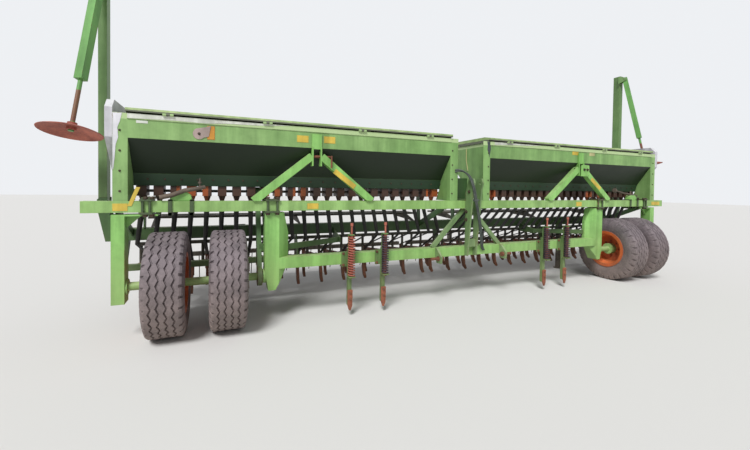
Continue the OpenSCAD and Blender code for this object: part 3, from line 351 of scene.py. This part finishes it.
def close_tree(tree, result, material):
    """Ends a tree in Realize Instances and Set Material."""
    real = put(tree, "GeometryNodeRealizeInstances", {"Geometry": result}).outputs["Geometry"]
    clad = put(tree, "GeometryNodeSetMaterial", {"Geometry": real, "Material": material}).outputs["Geometry"]
    tree.links.new(clad, tree.nodes.new("NodeGroupOutput").inputs["Geometry"])


def grown(name, tree, keys, spots, values, body, facing=None, smooth=False, stands_for=()):
    """Runs a tree on points in metres and keeps the result as one plain mesh piece."""
    seeds = bpy.data.meshes.new(name + "_points")
    seeds.from_pydata([tuple(p) for p in spots], [], [])
    if facing:
        marks = seeds.attributes.new("facing", "FLOAT_VECTOR", "POINT")
        for k, direction in enumerate(facing):
            marks.data[k].vector = direction
    maker = bpy.data.objects.new(name + "_maker", seeds)
    scene.collection.objects.link(maker)
    step = maker.modifiers.new("maker", "NODES")
    step.node_group = tree
    for label, value in values.items():
        step[keys[label]] = value
    bpy.context.view_layer.update()
    graph = bpy.context.evaluated_depsgraph_get()
    mesh = bpy.data.meshes.new_from_object(maker.evaluated_get(graph), depsgraph=graph)
    maker.modifiers.remove(step)
    bpy.data.objects.remove(maker)
    mesh.name = name
    form = bmesh.new()
    form.from_mesh(mesh)
    bmesh.ops.recalc_face_normals(form, faces=form.faces)
    form.to_mesh(mesh)
    form.free()
    if smooth:
        mesh.shade_smooth()
    settle(name, mesh, body, stands_for)


nut_tree, given, nut_keys = node_tree(
    "hex_nuts", (("Radius", "Float"), ("Height", "Float"), ("Material", "Material")))
hexagon = put(nut_tree, "GeometryNodeMeshCylinder",
              {"Vertices": 6, "Radius": given["Radius"], "Depth": given["Height"]}).outputs["Mesh"]
washer_r = calc(nut_tree, "MULTIPLY", given["Radius"], 1.3)
washer_t = calc(nut_tree, "MULTIPLY", given["Height"], 0.3)
nut_rise = calc(nut_tree, "MULTIPLY", given["Height"], 0.8)
washer = put(nut_tree, "GeometryNodeMeshCylinder",
             {"Vertices": 14, "Radius": washer_r, "Depth": washer_t}).outputs["Mesh"]
up_by = put(nut_tree, "ShaderNodeCombineXYZ", {"Z": nut_rise}).outputs[0]
raised = put(nut_tree, "GeometryNodeTransform",
             {"Geometry": hexagon, "Translation": up_by}).outputs["Geometry"]
both = nut_tree.nodes.new("GeometryNodeJoinGeometry")
nut_tree.links.new(washer, both.inputs[0])
nut_tree.links.new(raised, both.inputs[0])
facing = put(nut_tree, "GeometryNodeInputNamedAttribute", {"Name": "facing"}, data_type="FLOAT_VECTOR")
lean = put(nut_tree, "FunctionNodeAlignRotationToVector",
           {"Vector": facing.outputs["Attribute"]}, axis="Z").outputs["Rotation"]
copies = {"Points": given["Geometry"], "Instance": both.outputs[0], "Rotation": lean}
spread = put(nut_tree, "GeometryNodeInstanceOnPoints", copies).outputs["Instances"]
close_tree(nut_tree, spread, given["Material"])


def nuts(name, places, radius, height, mat, body="frame"):
    """Hexagon nuts on washers; each place is a point in mm and the way that it faces."""
    sizes = {"Radius": radius / 1000, "Height": height / 1000, "Material": mat}
    grown(name, nut_tree, nut_keys, [at(*p) for p, d in places], sizes, body,
          facing=[d for p, d in places])


face_up, face_down, face_front = (0, 0, 1), (0, 0, -1), (0, -1, 0)
clamp_head_z, clamp_foot_z = 1006, 894
bolt_front_y, bolt_back_y = -9.3, 89.3
clamp_bolts = ((1935, 37), (2785, 20))  # a clamp's middle, and its bolts' distance from it
clamp_nuts = []
for side in (-1, 1):
    for middle, reach in clamp_bolts:
        for x in (middle - reach, middle + reach):
            clamp_nuts += [((side * x, bolt_front_y, clamp_head_z), face_up),
                           ((side * x, bolt_back_y, clamp_head_z), face_up),
                           ((side * x, bolt_front_y, clamp_foot_z), face_down)]
nuts("clamp_nuts", clamp_nuts, 16, 12, iron_dark)
mast_bolts = ((58, -20, 880), (58, -20, 800), (58, 60, 560), (58, -60, 1080))
mast_nuts = [((side * x, y, z), (side, 0, 0)) for side in (-1, 1) for x, y, z in mast_bolts]
nuts("mast_nuts", mast_nuts, 14, 10, iron_dark)

# Bare steel: pins, coulters and shafts that never had much paint. The pins and coulters are brown all over
# with darker pits and a little yellow dust; the harrow, the board, the shafts and the legs are dull grey.
rust_brown = rusted("rust_brown", srgb(58, 34, 28), srgb(142, 84, 60))
dull_steel = rusted("dull_steel", srgb(64, 62, 58), srgb(124, 118, 108), 0.3, 0.35)
for name in ("hitch_pins", "brace_pins", "coulters"):
    finish_node(name, rust_brown)
for name in ("feed_shafts", "harrow", "loading_board", "stand_left", "stand_right", "coulter_springs"):
    finish_node(name, dull_steel)


# End fittings: a humped green bracket stands on each end of the front beam, tied down by two flat steel
# straps. A bent handle lies on the left one and a thin lever with a knob on the right one.
def block(form, low, high):
    """Adds a box between two corners in mm."""
    corners = [form.verts.new(at(*(high[a] if pick[a] else low[a] for a in range(3)))) for pick in
               ((0, 0, 0), (1, 0, 0), (1, 1, 0), (0, 1, 0), (0, 0, 1), (1, 0, 1), (1, 1, 1), (0, 1, 1))]
    for face in ((0, 3, 2, 1), (4, 5, 6, 7), (0, 1, 5, 4), (1, 2, 6, 5), (2, 3, 7, 6), (3, 0, 4, 7)):
        form.faces.new([corners[k] for k in face])


def slab(form, outline, back, front):
    """Adds a plate in the XZ plane from its outline in mm, between two depths."""
    rings = [[form.verts.new(at(x, y, z)) for x, z in outline] for y in (back, front)]
    form.faces.new(rings[0])
    form.faces.new(rings[1][::-1])
    for k in range(len(outline)):
        n = (k + 1) % len(outline)
        form.faces.new((rings[0][k], rings[1][k], rings[1][n], rings[0][n]))


def stick(form, path, radius, sides=10):
    """Adds a round bar along a path of places in mm; the radius is one number or one for each place."""
    spots = [at(*p) for p in path]
    radii = radius if isinstance(radius, (list, tuple)) else [radius] * len(path)
    angles = [2 * math.pi * n / sides for n in range(sides)]
    rings = []
    across = None
    for k, spot in enumerate(spots):
        along = (spots[min(k + 1, len(spots) - 1)] - spots[max(k - 1, 0)]).normalized()
        if across is None:
            across = along.orthogonal().normalized()
        else:
            across = (across - along * across.dot(along)).normalized()
        other = along.cross(across)
        rings.append([form.verts.new(spot + (across * math.cos(a) + other * math.sin(a)) * radii[k] / 1000)
                      for a in angles])
    form.faces.new(rings[0][::-1])
    form.faces.new(rings[-1])
    for first, second in zip(rings, rings[1:]):
        for n in range(sides):
            form.faces.new((first[n], first[(n + 1) % sides], second[(n + 1) % sides], second[n]))


def made(name, form, mat, body, round_by=0.0, stands_for=()):
    """Turns a bmesh into a finished piece that rides on a body."""
    bmesh.ops.recalc_face_normals(form, faces=form.faces)
    mesh = bpy.data.meshes.new(name)
    form.to_mesh(mesh)
    form.free()
    mesh.materials.append(mat)
    settle(name, mesh, body, stands_for, round_by)


def mirrored(side, x0, x1):
    """The lower and the higher X of a span on one side, -1 or 1."""
    return sorted((side * x0, side * x1))


hump = ((2510, 990), (2520, 1034), (2546, 1054), (2624, 1054), (2650, 1034), (2660, 990))
form = bmesh.new()
for side in (-1, 1):
    slab(form, [(side * x, z) for x, z in hump], 70, 10)
made("end_brackets", form, leg_green, "frame", round_by=0.003, stands_for=("end_fittings",))

strap_xs, strap_w = (2500, 2640), 26
# A strap's front, rear, upper and lower wall round the beam: (Y, Z) of the lowest and the highest corner.
strap_walls = (
    ((-12, 884), (0, 1002)), ((80, 884), (92, 1002)), ((-12, 990), (92, 1002)), ((-12, 884), (92, 910)))
form = bmesh.new()
for side in (-1, 1):
    for x in strap_xs:
        low_x, high_x = mirrored(side, x, x + strap_w)
        for low, high in strap_walls:
            block(form, (low_x, *low), (high_x, *high))
made("end_straps", form, clamp_green, "frame", round_by=0.002)

handle_steel = rusted("handle_steel", srgb(52, 46, 42), srgb(112, 98, 84), 0.2)
handle_path = ((-2719, -10, 1016), (-2640, -6, 1034), (-2560, 4, 1068), (-2490, 12, 1080), (-2424, 20, 1096))
form = bmesh.new()
stick(form, handle_path, (17, 17, 16, 15, 14))
stick(form, [(-2460, 16, 1080), (-2460, 16, 1160)], 6)
stick(form, [(-2460, 16, 1120), (-2460, 16, 1134)], 14, 6)
stick(form, [(2690, 30, 1046), (2560, 30, 1066), (2420, 30, 1082), (2240, 30, 1116)], 10)
stick(form, [(2262, 30, 1112), (2236, 30, 1117)], 26)
stick(form, [(2560, 30, 1050), (2560, 30, 1110)], 9)
made("end_handles", form, handle_steel, "frame")


# Hoppers: folded steel sheet. The upright face is bleached grey green under a nearly white lip, the slanted
# wall below it is painted dark as shade, and the trough at the bottom is a separate dark strip held by small
# bolts, its dark tone laid only on down-facing faces, partly its own colour and partly painted shade.
def band(mat, low, high, colour, share=1.0, soft=0.004, shade_below=False):
    """Tints a painted material between two heights, with a ragged edge; with shade_below, only where it
    faces down, as painted shade.
    """
    tree = mat.node_tree
    skin = tree.nodes["Principled BSDF"]
    place = own_place(tree)
    rise = swing(tree, part_of(tree, place, "Z"), noise(tree, place, 12, 6, 0.7), soft * 3)
    over, below = span(tree, rise, low - soft, low + soft), span(tree, rise, high + soft, high - soft)
    mask = calc(tree, "MULTIPLY", over, below)
    if shade_below:
        facing = part_of(tree, put(tree, "ShaderNodeNewGeometry").outputs["Normal"], "Z")
        mask = calc(tree, "MULTIPLY", mask, span(tree, facing, -0.1, -0.2))
    patches = plus(tree, share * 0.72, noise(tree, place, 5, 8, 0.7), share * 0.5)
    patchy = calc(tree, "MULTIPLY", mask, patches, clamp=True)
    tint = blend(tree, patchy, skin.inputs["Base Color"].links[0].from_socket, colour)
    tree.links.new(tint, skin.inputs["Base Color"])


trough_foot, trough_head, slant_head = 1.095, 1.190, 1.440
lip_foot, lip_head = 1.560, 1.606
hopper_middle, trough_pitch, trough_bolts = 1587.5, 112, 25
trough_y, trough_z, trough_facing = 174, 1150, (0, -0.963, -0.27)
flange_xs, flange_y, flange_zs = (222, 2958), -1, (1060, 1200, 1340, 1480)
hopper_green = painted("hopper_green", srgb(108, 160, 80), srgb(156, 188, 124), 0.5, 0.1, 0.15)
# Painted shade: the slanted wall's down-facing faces are darkened nearly to black green.
band(hopper_green, trough_head, slant_head, srgb(14, 32, 12), 1.3, 0.004, shade_below=True)
# The trough strip's dark teal, on its down-facing faces only: partly its own colour, partly painted shade.
band(hopper_green, trough_foot, trough_head, srgb(34, 58, 38), 1.2, 0.003, shade_below=True)
band(hopper_green, lip_foot, lip_head, srgb(184, 206, 152), 0.9)
finish_node("hopper_left", hopper_green)
finish_node("hopper_right", hopper_green)
trough_xs = [hopper_middle + (j - trough_bolts // 2) * trough_pitch for j in range(trough_bolts)]
trough_nuts = [((side * x, trough_y, trough_z), trough_facing) for side in (-1, 1) for x in trough_xs]
nuts("trough_nuts", trough_nuts, 6, 4, iron_dark)
flange_nuts = [((side * x, flange_y, z), face_front) for side in (-1, 1) for x in flange_xs
               for z in flange_zs]
nuts("flange_nuts", flange_nuts, 6, 4, iron_dark)


# Face films: plain plastic films left on the hopper faces and the front beam. They are yellow, and one has
# been bleached pale by the sun.
def film(name, fresh, faded):
    """A plain plastic film, its colour uneven and its edges worn."""
    return painted(name, fresh, faded, 0.5, 0.45, 0.5)


film_t = 1.6
film_yellow = film("film_yellow", srgb(206, 170, 44), srgb(232, 206, 96))
film_pale = film("film_pale", srgb(186, 180, 120), srgb(214, 208, 160))
# Lowest and highest X, lowest and highest Z of each film.
yellow_spots = (
    (-1745, -1650, 1472, 1528), (-1519, -1420, 1477, 1534), (1442, 1545, 1520, 1574),
    (-1655, -1560, 922, 970), (1526, 1618, 922, 972), (-3000, -2912, 922, 974), (2950, 3120, 926, 972))
form = bmesh.new()
for x0, x1, z0, z1 in yellow_spots:
    block(form, (x0, -film_t, z0), (x1, 0, z1))
made("face_films", form, film_yellow, "frame")
form = bmesh.new()
block(form, (1728, -film_t, 1522), (1822, 0, 1570))
made("pale_films", form, film_pale, "frame")

# Worn lips: the hoppers' front lips have lost their green to the sun, and a thin white crust of old paint
# is left on the outer part of the left hopper's lip and on the inner part of the right one's.
crust_back, crust_front = -6, -7.2
left_crust = ((-2914, 1564), (-2914, 1599), (-1780, 1599), (-1900, 1590), (-2060, 1580), (-2250, 1576),
              (-2420, 1566), (-2640, 1570))
right_crust = ((292, 1568), (292, 1599), (980, 1599), (900, 1592), (760, 1584), (560, 1580), (420, 1572))
form = bmesh.new()
for outline in (left_crust, right_crust):
    slab(form, outline, crust_back, crust_front)
lip_flaking = film("lip_flaking", srgb(196, 200, 186), srgb(236, 238, 228))
made("lip_white", form, lip_flaking, "frame")

# Brace head plate: a small green plate that covers the head of the right front brace, where its two arms
# meet, held by two bolts.
brace_front, plate_front = -20, -30
plate_outline = ((1560, 1274), (1560, 1398), (1600, 1410), (1696, 1404), (1698, 1300), (1676, 1274))
form = bmesh.new()
slab(form, plate_outline, brace_front, plate_front)
made("brace_head_plate", form, leg_green, "frame", round_by=0.003)
nuts("head_plate_nuts", [((x, plate_front, 1352), face_front) for x in (1610, 1662)], 12, 10, iron_dark)

# Label and brace films: a blank white label on the left hopper's face, and a long yellow film on one arm of
# each front brace, laid along the arm.
label_white = film("film_white", srgb(206, 212, 200), srgb(236, 238, 230))
form = bmesh.new()
block(form, (-2862, -film_t, 1536), (-2791, 0, 1555))
made("white_label", form, label_white, "frame")

brace_film_w = 44
# An arm's foot and head as (X, Z), how far up the film's middle lies as a share, and the film's length.
brace_arms = (((-1080, 990), (-1548, 1330), 0.55, 230), ((2100, 990), (1632, 1330), 0.58, 200))
form = bmesh.new()
for foot, head, share, length in brace_arms:
    middle = Vector(foot).lerp(Vector(head), share)
    along = (Vector(head) - Vector(foot)).normalized()
    over = Vector((-along.y, along.x))
    corners = [middle + along * length * a / 2 + over * brace_film_w * b / 2
               for a, b in ((-1, -1), (1, -1), (1, 1), (-1, 1))]
    slab(form, [tuple(c) for c in corners], brace_front, brace_front - film_t)
made("brace_films", form, film_yellow, "frame")

# Cover flap: a small grey sheet flap on the left hopper's face, turned on one bolt, half over an orange
# film. Further left a yellow plastic strap leans against the beam.
sticker_orange = film("sticker_orange", srgb(206, 118, 34), srgb(236, 176, 70))
form = bmesh.new()
block(form, (-2412, -film_t, 1449), (-2359, 0, 1550))
made("flap_film", form, sticker_orange, "frame")

flap_x, flap_z, flap_r, flap_front = -2466, 1488, 42, -5
flap_rim = [(flap_x + flap_r * math.cos(math.radians(a)), flap_z + flap_r * math.sin(math.radians(a)))
            for a in range(120, 321, 20)]
flap_grey = painted("flap_grey", srgb(150, 126, 122), srgb(196, 176, 170), 0.5, 0.3, 0.2)
form = bmesh.new()
slab(form, flap_rim + [(-2400, 1470), (-2386, 1550), (-2420, 1540)], -film_t, flap_front)
made("cover_flap", form, flap_grey, "frame", round_by=0.001)
nuts("flap_bolt", [((flap_x, flap_front, flap_z), face_front)], 8, 5, iron_dark)
form = bmesh.new()
slab(form, [(-2914, 955), (-2888, 955), (-2836, 1088), (-2862, 1090)], 0, -2.5)
made("yellow_strap", form, film_yellow, "frame")

# Lids: shallow pans of pressed sheet, ridged along their length, on four hinge knuckles each. A grey-brown
# band runs along the lower part of their front edges, and their tops are bleached to pale yellow green.
sides = (("left", -1), ("right", 1))
lid_green = painted("lid_green", srgb(136, 176, 92), srgb(196, 214, 158), 0.62, 0.15, 0.3)
# A grey-brown band along the lower front edge of the lids and over their hinge knuckles.
band(lid_green, 1.590, 1.621, srgb(96, 100, 84), 1.1, 0.002)
lid_x0, lid_x1, lid_t = 231, 2924, 3
hinge_xs, hinge_y, hinge_z = (490, 1177.5, 1977.5, 2665), -17, 1605
knuckle_r, knuckle_reach, knuckle_top = 9, 11, 1612
# The sheet's outer and inner line from the front edge over the ridge to the rear edge, as (Y, Z).
lid_outer = ((-17, 1610), (-17, 1636), (73, 1652), (668, 1652), (755, 1636), (755, 1594))
lid_inner = ((-14, 1610), (-14, 1633), (73, 1649), (668, 1649), (752, 1633), (752, 1594))
lid_end = lid_inner + ((15, 1594), (15, 1610))


def sheet_along(form, x0, x1, section):
    """Adds a prism along X from a section of (Y, Z) in mm."""
    rings = [[form.verts.new(at(x, y, z)) for y, z in section] for x in (x0, x1)]
    form.faces.new(rings[0])
    form.faces.new(rings[1][::-1])
    for k in range(len(section)):
        n = (k + 1) % len(section)
        form.faces.new((rings[0][k], rings[0][n], rings[1][n], rings[1][k]))


for name, side in sides:
    form = bmesh.new()
    sheet_along(form, side * lid_x0, side * lid_x1, lid_outer + lid_inner[::-1])
    for x in (lid_x0, lid_x1 - lid_t):
        sheet_along(form, side * x, side * (x + lid_t), lid_end)
    for x in hinge_xs:
        low_x, high_x = mirrored(side, x - knuckle_reach, x + knuckle_reach)
        stick(form, [(low_x, hinge_y, hinge_z), (high_x, hinge_y, hinge_z)], knuckle_r, 16)
        block(form, (low_x, hinge_y, hinge_z), (high_x, hinge_y + lid_t, knuckle_top))
    made("lid_pan_" + name, form, lid_green, "lid_" + name, stands_for=("lid_" + name,))

# End covers: moulded covers on the hoppers' outer ends, white and flaking, with more white on the left end
# flange beside them. A torn dark tape is left on the right hopper's inner flange.
flake_t = 1.5
cover_white = painted("cover_white", srgb(176, 168, 184), srgb(236, 236, 240), 0.6, 0.5, 0.2)
finish_node("end_covers", cover_white)
flake_outline = ((-2999, 1598), (-2944, 1598), (-2956, 1540), (-2970, 1500), (-2966, 1430), (-2980, 1380),
                 (-2986, 1290), (-2994, 1212), (-2999, 1206))
flake_white = painted("flake_white", srgb(196, 192, 204), srgb(240, 240, 244), 0.6, 0.62, 0.1)
form = bmesh.new()
slab(form, flake_outline, 0, -flake_t)
made("flaking_white", form, flake_white, "frame")
tape_outline = ((202, 1598), (250, 1598), (246, 1560), (250, 1520), (238, 1470), (232, 1432), (224, 1476),
                (206, 1512), (210, 1556))
tape_grey = painted("tape_grey", srgb(42, 48, 54), srgb(84, 92, 100), 0.5, 0.3, 0.1)
form = bmesh.new()
slab(form, tape_outline, 0, -flake_t)
made("torn_tape", form, tape_grey, "frame")

# Metering units: moulded housings under the hopper floors, each over the mouth of its seed tube. Most of
# them are painted dark brown as shade, and a random few are left orange as if the sun reached them.
unit_pitch, unit_offset, lit_share, shade_depth = 0.112, 0.0565, 0.1, 0.88
unit_orange = painted("unit_orange", srgb(150, 60, 28), srgb(200, 104, 50), 0.4, 0.35, 0.3)
tree = unit_orange.node_tree
skin = tree.nodes["Principled BSDF"]
across = part_of(tree, own_place(tree), "X")
number = calc(tree, "FLOOR", calc(tree, "DIVIDE", calc(tree, "ADD", across, unit_offset), unit_pitch))
pick = put(tree, "ShaderNodeTexWhiteNoise", {"W": number}, noise_dimensions="1D").outputs["Value"]
# Painted shade: every unit but a random tenth is darkened toward a shadow brown.
in_shade = calc(tree, "MULTIPLY", calc(tree, "GREATER_THAN", pick, lit_share), shade_depth)
shade_tint = blend(tree, in_shade, skin.inputs["Base Color"].links[0].from_socket, srgb(44, 38, 34))
tree.links.new(shade_tint, skin.inputs["Base Color"])
finish_node("metering_units", unit_orange)

# Seed tubes: black ribbed rubber tubes that drop the seed from the units to the coulters. Their fine ribs
# run round them, so they are a bump along the height.
tube_black = rusted("tube_black", srgb(20, 20, 20), srgb(50, 48, 46), 0.25)
tree = tube_black.node_tree
ribs = calc(tree, "SINE", calc(tree, "MULTIPLY", part_of(tree, own_place(tree), "Z"), 700))
ribbed = put(tree, "ShaderNodeBump", {"Height": ribs, "Strength": 0.7, "Distance": 0.003})
tree.links.new(ribbed.outputs["Normal"], tree.nodes["Principled BSDF"].inputs["Normal"])
finish_node("seed_tubes", tube_black)

# Hydraulic hoses: two smooth rubber hoses side by side, in an arc from the left hopper's inner flange over
# the mast and down to the lower beam, held together by a clip block in front of the beam's upper edge.
hose_r, fan_out = 8, 3
hose_route = (
    (-190, -2, 1291), (-160, -18, 1298), (-122, -62, 1280), (-92, -108, 1222), (-74, -130, 1140),
    (-56, -134, 1070), (-30, -120, 990), (8, -108, 880), (44, -96, 760), (72, -82, 650), (92, -64, 570),
    (128, -34, 512), (164, -8, 486))
hose_black = rusted("hose_black", srgb(34, 38, 36), srgb(84, 92, 86), 0.1)
form = bmesh.new()
for offset, drop in ((0, 0), (17, -18)):
    path = [Vector((x + offset * min(k, fan_out) / fan_out, y, z + drop * max(fan_out - k, 0) / fan_out))
            for k, (x, y, z) in enumerate(hose_route)]
    eased = [path[0]]
    for a, b in zip(path, path[1:]):
        eased += [a.lerp(b, 0.3), a.lerp(b, 0.7)]
    stick(form, [tuple(v) for v in eased + [path[-1]]], hose_r, 12)
block(form, (-46, -128, 988), (8, -104, 1008))
made("hydraulic_hoses", form, hose_black, "frame", stands_for=("hoses",))

# Sight rod: a thin pale rod of plastic that stands against the right hopper's inner end wall, bent where
# the wall slants.
form = bmesh.new()
stick(form, [(236, 388, 1556), (236, 384, 1420), (236, 356, 1313)], 5)
made("sight_rod", form, film_pale, "frame")

# Wheel mark tines: each green shank carries a close-wound spring on a rod in front of it and a worn point
# at its foot; one spring is red with rust, the others nearly black.
coil_tree, given, coil_keys = node_tree(
    "coil_springs",
    (("Turns", "Float"), ("Radius", "Float"), ("Wire", "Float"), ("Length", "Float"),
     ("Material", "Material")))
helix = put(coil_tree, "GeometryNodeCurveSpiral",
            {"Resolution": 20, "Rotations": given["Turns"], "Start Radius": given["Radius"],
             "End Radius": given["Radius"], "Height": given["Length"]}).outputs["Curve"]
wire = put(coil_tree, "GeometryNodeCurvePrimitiveCircle",
           {"Resolution": 7, "Radius": given["Wire"]}).outputs["Curve"]
coil = put(coil_tree, "GeometryNodeCurveToMesh",
           {"Curve": helix, "Profile Curve": wire, "Fill Caps": True}).outputs["Mesh"]
coils = put(coil_tree, "GeometryNodeInstanceOnPoints",
            {"Points": given["Geometry"], "Instance": coil}).outputs["Instances"]
close_tree(coil_tree, coils, given["Material"])

deep_green = painted("deep_green", srgb(74, 118, 60), srgb(120, 156, 96), 0.4, 0.5, 0.6)
red_rust = rusted("red_rust", srgb(116, 56, 48), srgb(192, 112, 92), 0.1)
black_rust = rusted("black_rust", srgb(30, 24, 30), srgb(84, 66, 76), 0.1)
point_rust = rusted("point_rust", srgb(96, 44, 32), srgb(166, 92, 64), 0.3)
tine_xs, spring_y, spring_foot = (-1290, -975, 975, 1290), -84, 356
shank_front, point_front = -50, -64
spring_size = {"Turns": 16.0, "Radius": 0.0275, "Wire": 0.0056, "Length": 0.336}
# The boxes of a shank about its own X: the bar, its plate on the lower beam, the spring's lower and upper
# seat, and the neck between the bar and the upper seat.
shank_boxes = (
    ((-17, -50, 90), (17, -12, 580)), ((-64, -12, 420), (30, 0, 550)), ((-30, -116, 340), (30, -50, 350)),
    ((-20, -104, 698), (20, -38, 708)), ((-20, -50, 580), (20, -38, 708)))
# The parts of a spring's rod: lowest Z, highest Z and radius of the rod, its head and its sleeve.
rod_parts = ((330, 792, 8), (778, 804, 13), (352, 696, 15))
point_outline = ((-23, 226), (23, 226), (21, 90), (8, 50), (-8, 50), (-21, 90))
# The bolts on a tine's plate, as X from the tine's middle and Z, and on its point.
beam_plate_front, plate_bolt_ways, plate_bolt_zs, point_bolt_zs = -12, (-48, 24), (436, 534), (150, 204)

form = bmesh.new()
for x in tine_xs:
    for (x0, *low), (x1, *high) in shank_boxes:
        block(form, (x + x0, *low), (x + x1, *high))
made("mark_shanks", form, deep_green, "frame", round_by=0.002, stands_for=("mark_carriers",))
for name, xs, mat, stands_for in (("mark_spring_red", tine_xs[:1], red_rust, ("mark_springs",)),
                                  ("mark_springs_dark", tine_xs[1:], black_rust, ())):
    grown(name, coil_tree, coil_keys, [at(x, spring_y, spring_foot) for x in xs],
          dict(spring_size, Material=mat), "frame", smooth=True, stands_for=stands_for)
form = bmesh.new()
for x in tine_xs:
    for foot, head, radius in rod_parts:
        stick(form, [(x, spring_y, foot), (x, spring_y, head)], radius)
made("mark_rods", form, red_rust, "frame")
form = bmesh.new()
for x in tine_xs:
    slab(form, [(x + way, z) for way, z in point_outline], shank_front, point_front)
made("mark_tips", form, point_rust, "frame", round_by=0.003, stands_for=("mark_points",))
mark_nuts = [((x + way, beam_plate_front, z), face_front) for x in tine_xs
             for way in plate_bolt_ways for z in plate_bolt_zs]
mark_nuts += [((x, point_front, z), face_front) for x in tine_xs for z in point_bolt_zs]
nuts("mark_nuts", mark_nuts, 9, 8, rust_brown)

# Wheels: orange pressed rims bolted to pale green hubs, and black road tyres gone grey with age, with four
# zigzag grooves round the tread and slots across the shoulders.
rim_orange = painted("rim_orange", srgb(204, 72, 22), srgb(232, 110, 42), 0.4, 0.3, 0.5)
rim_rust = rusted("rim_rust", srgb(120, 50, 24), srgb(186, 88, 44), 0.3)
tyre_grey = rusted("tyre_grey", srgb(84, 77, 80), srgb(134, 122, 126), 0.5)
wheel_xs, axle_y, axle_z = (2260, 2670), 60, 380
tread_r, groove_r, rib_edge, tyre_pitches = 380, 367, 97, 32
# The tread's grooves: their middle lines, the two that run half a tooth ahead, the reach of their zigzag,
# and half their width at the top and at the bottom.
groove_lines, lines_ahead, zigzag_reach = (-68, -23, 23, 68), (-23, 68), 8
groove_half, groove_foot_half = 6.5, 4.5
# The shares of a pitch at which the tyre has a section; those between slot_from and slot_to lie in a slot
# across the shoulder.
section_shares, slot_from, slot_to, slot_depth = (0.0, 0.03, 0.25, 0.28, 0.5, 0.75), 0.01, 0.27, 13
# The wall from bead to shoulder: half width, radius, and the shares of a slot's depth taken off each.
tyre_wall = (
    (114, 194.8, 0, 0), (114, 228.5, 0, 0), (123, 250, 0, 0), (131, 286, 0, 0), (131.5, 310, 0, 0),
    (128, 336, 0.3, 0), (123, 352, 0.7, 0.3), (117, 370, 0.5, 1), (104, 379, 0, 1))
hub_bolts, bolt_circle_r, bolt_out = 8, 92, 5


def zigzag(pitches, reach):
    """A triangle wave with one tooth in each pitch of the tread."""
    phase = pitches % 1
    return reach * (4 * abs(phase - 0.5) - 1)


def tyre(form, middle):
    """Adds one tyre with its tread, its axle through the wheel's centre."""
    rings = []
    for pitch in range(tyre_pitches):
        for share in section_shares:
            angle = 2 * math.pi * (pitch + share) / tyre_pitches
            drop = slot_depth if slot_from < share < slot_to else 0
            wall = [(w - drop * a, r - drop * b) for w, r, a, b in tyre_wall]
            across = [(-w, r) for w, r in wall] + [(-rib_edge, tread_r)]
            for line in groove_lines:
                ahead = 0.5 if line in lines_ahead else 0
                mid = line + zigzag(share + pitch + ahead, zigzag_reach)
                across += [(mid - groove_half, tread_r), (mid - groove_foot_half, groove_r),
                           (mid + groove_foot_half, groove_r), (mid + groove_half, tread_r)]
            across += [(rib_edge, tread_r)] + wall[::-1]
            cos, sin = math.cos(angle), math.sin(angle)
            spots = [at(middle + w, axle_y + r * cos, axle_z + r * sin) for w, r in across]
            rings.append([form.verts.new(spot) for spot in spots])
    for first, second in zip(rings, rings[1:] + rings[:1]):
        for k in range(len(first)):
            n = (k + 1) % len(first)
            form.faces.new((first[k], first[n], second[n], second[k]))


for name, side in sides:
    form = bmesh.new()
    for middle in wheel_xs:
        tyre(form, side * middle)
    made("tyres_" + name + "_tread", form, tyre_grey, "wheels_" + name,
         stands_for=("tyres_" + name,))
    finish_node("axle_" + name, beam_green)
    finish_node("rims_" + name, rim_orange)
    wheel_nuts = []
    for middle in wheel_xs:
        for way in (-1, 1):
            for angle in (2 * math.pi * n / hub_bolts for n in range(hub_bolts)):
                spot = (side * (middle + way * bolt_out), axle_y + bolt_circle_r * math.cos(angle),
                        axle_z + bolt_circle_r * math.sin(angle))
                wheel_nuts.append((spot, (side * way, 0, 0)))
    nuts("wheel_nuts_" + name, wheel_nuts, 10, 12, rim_rust, "wheels_" + name)

# Row markers: a post and an arm of painted steel, folded up at each end, with a dished steel disc on the
# arm's tip, which is bare and red with rust as far up as the stem goes.
stem_foot, stem_head = 1.560, 1.800
marker_green = painted("marker_green", srgb(80, 146, 68), srgb(128, 182, 100), 0.5, 0.35, 0.2)
band(marker_green, stem_foot, stem_head, srgb(120, 58, 50), 0.9)
post_green = painted("post_green", srgb(84, 128, 66), srgb(136, 164, 110), 0.45, 0.3, 0.2)
for name, side in sides:
    finish_node("marker_post_" + name, post_green)
    finish_node("marker_arm_" + name, marker_green)
    finish_node("marker_disc_" + name, red_rust)
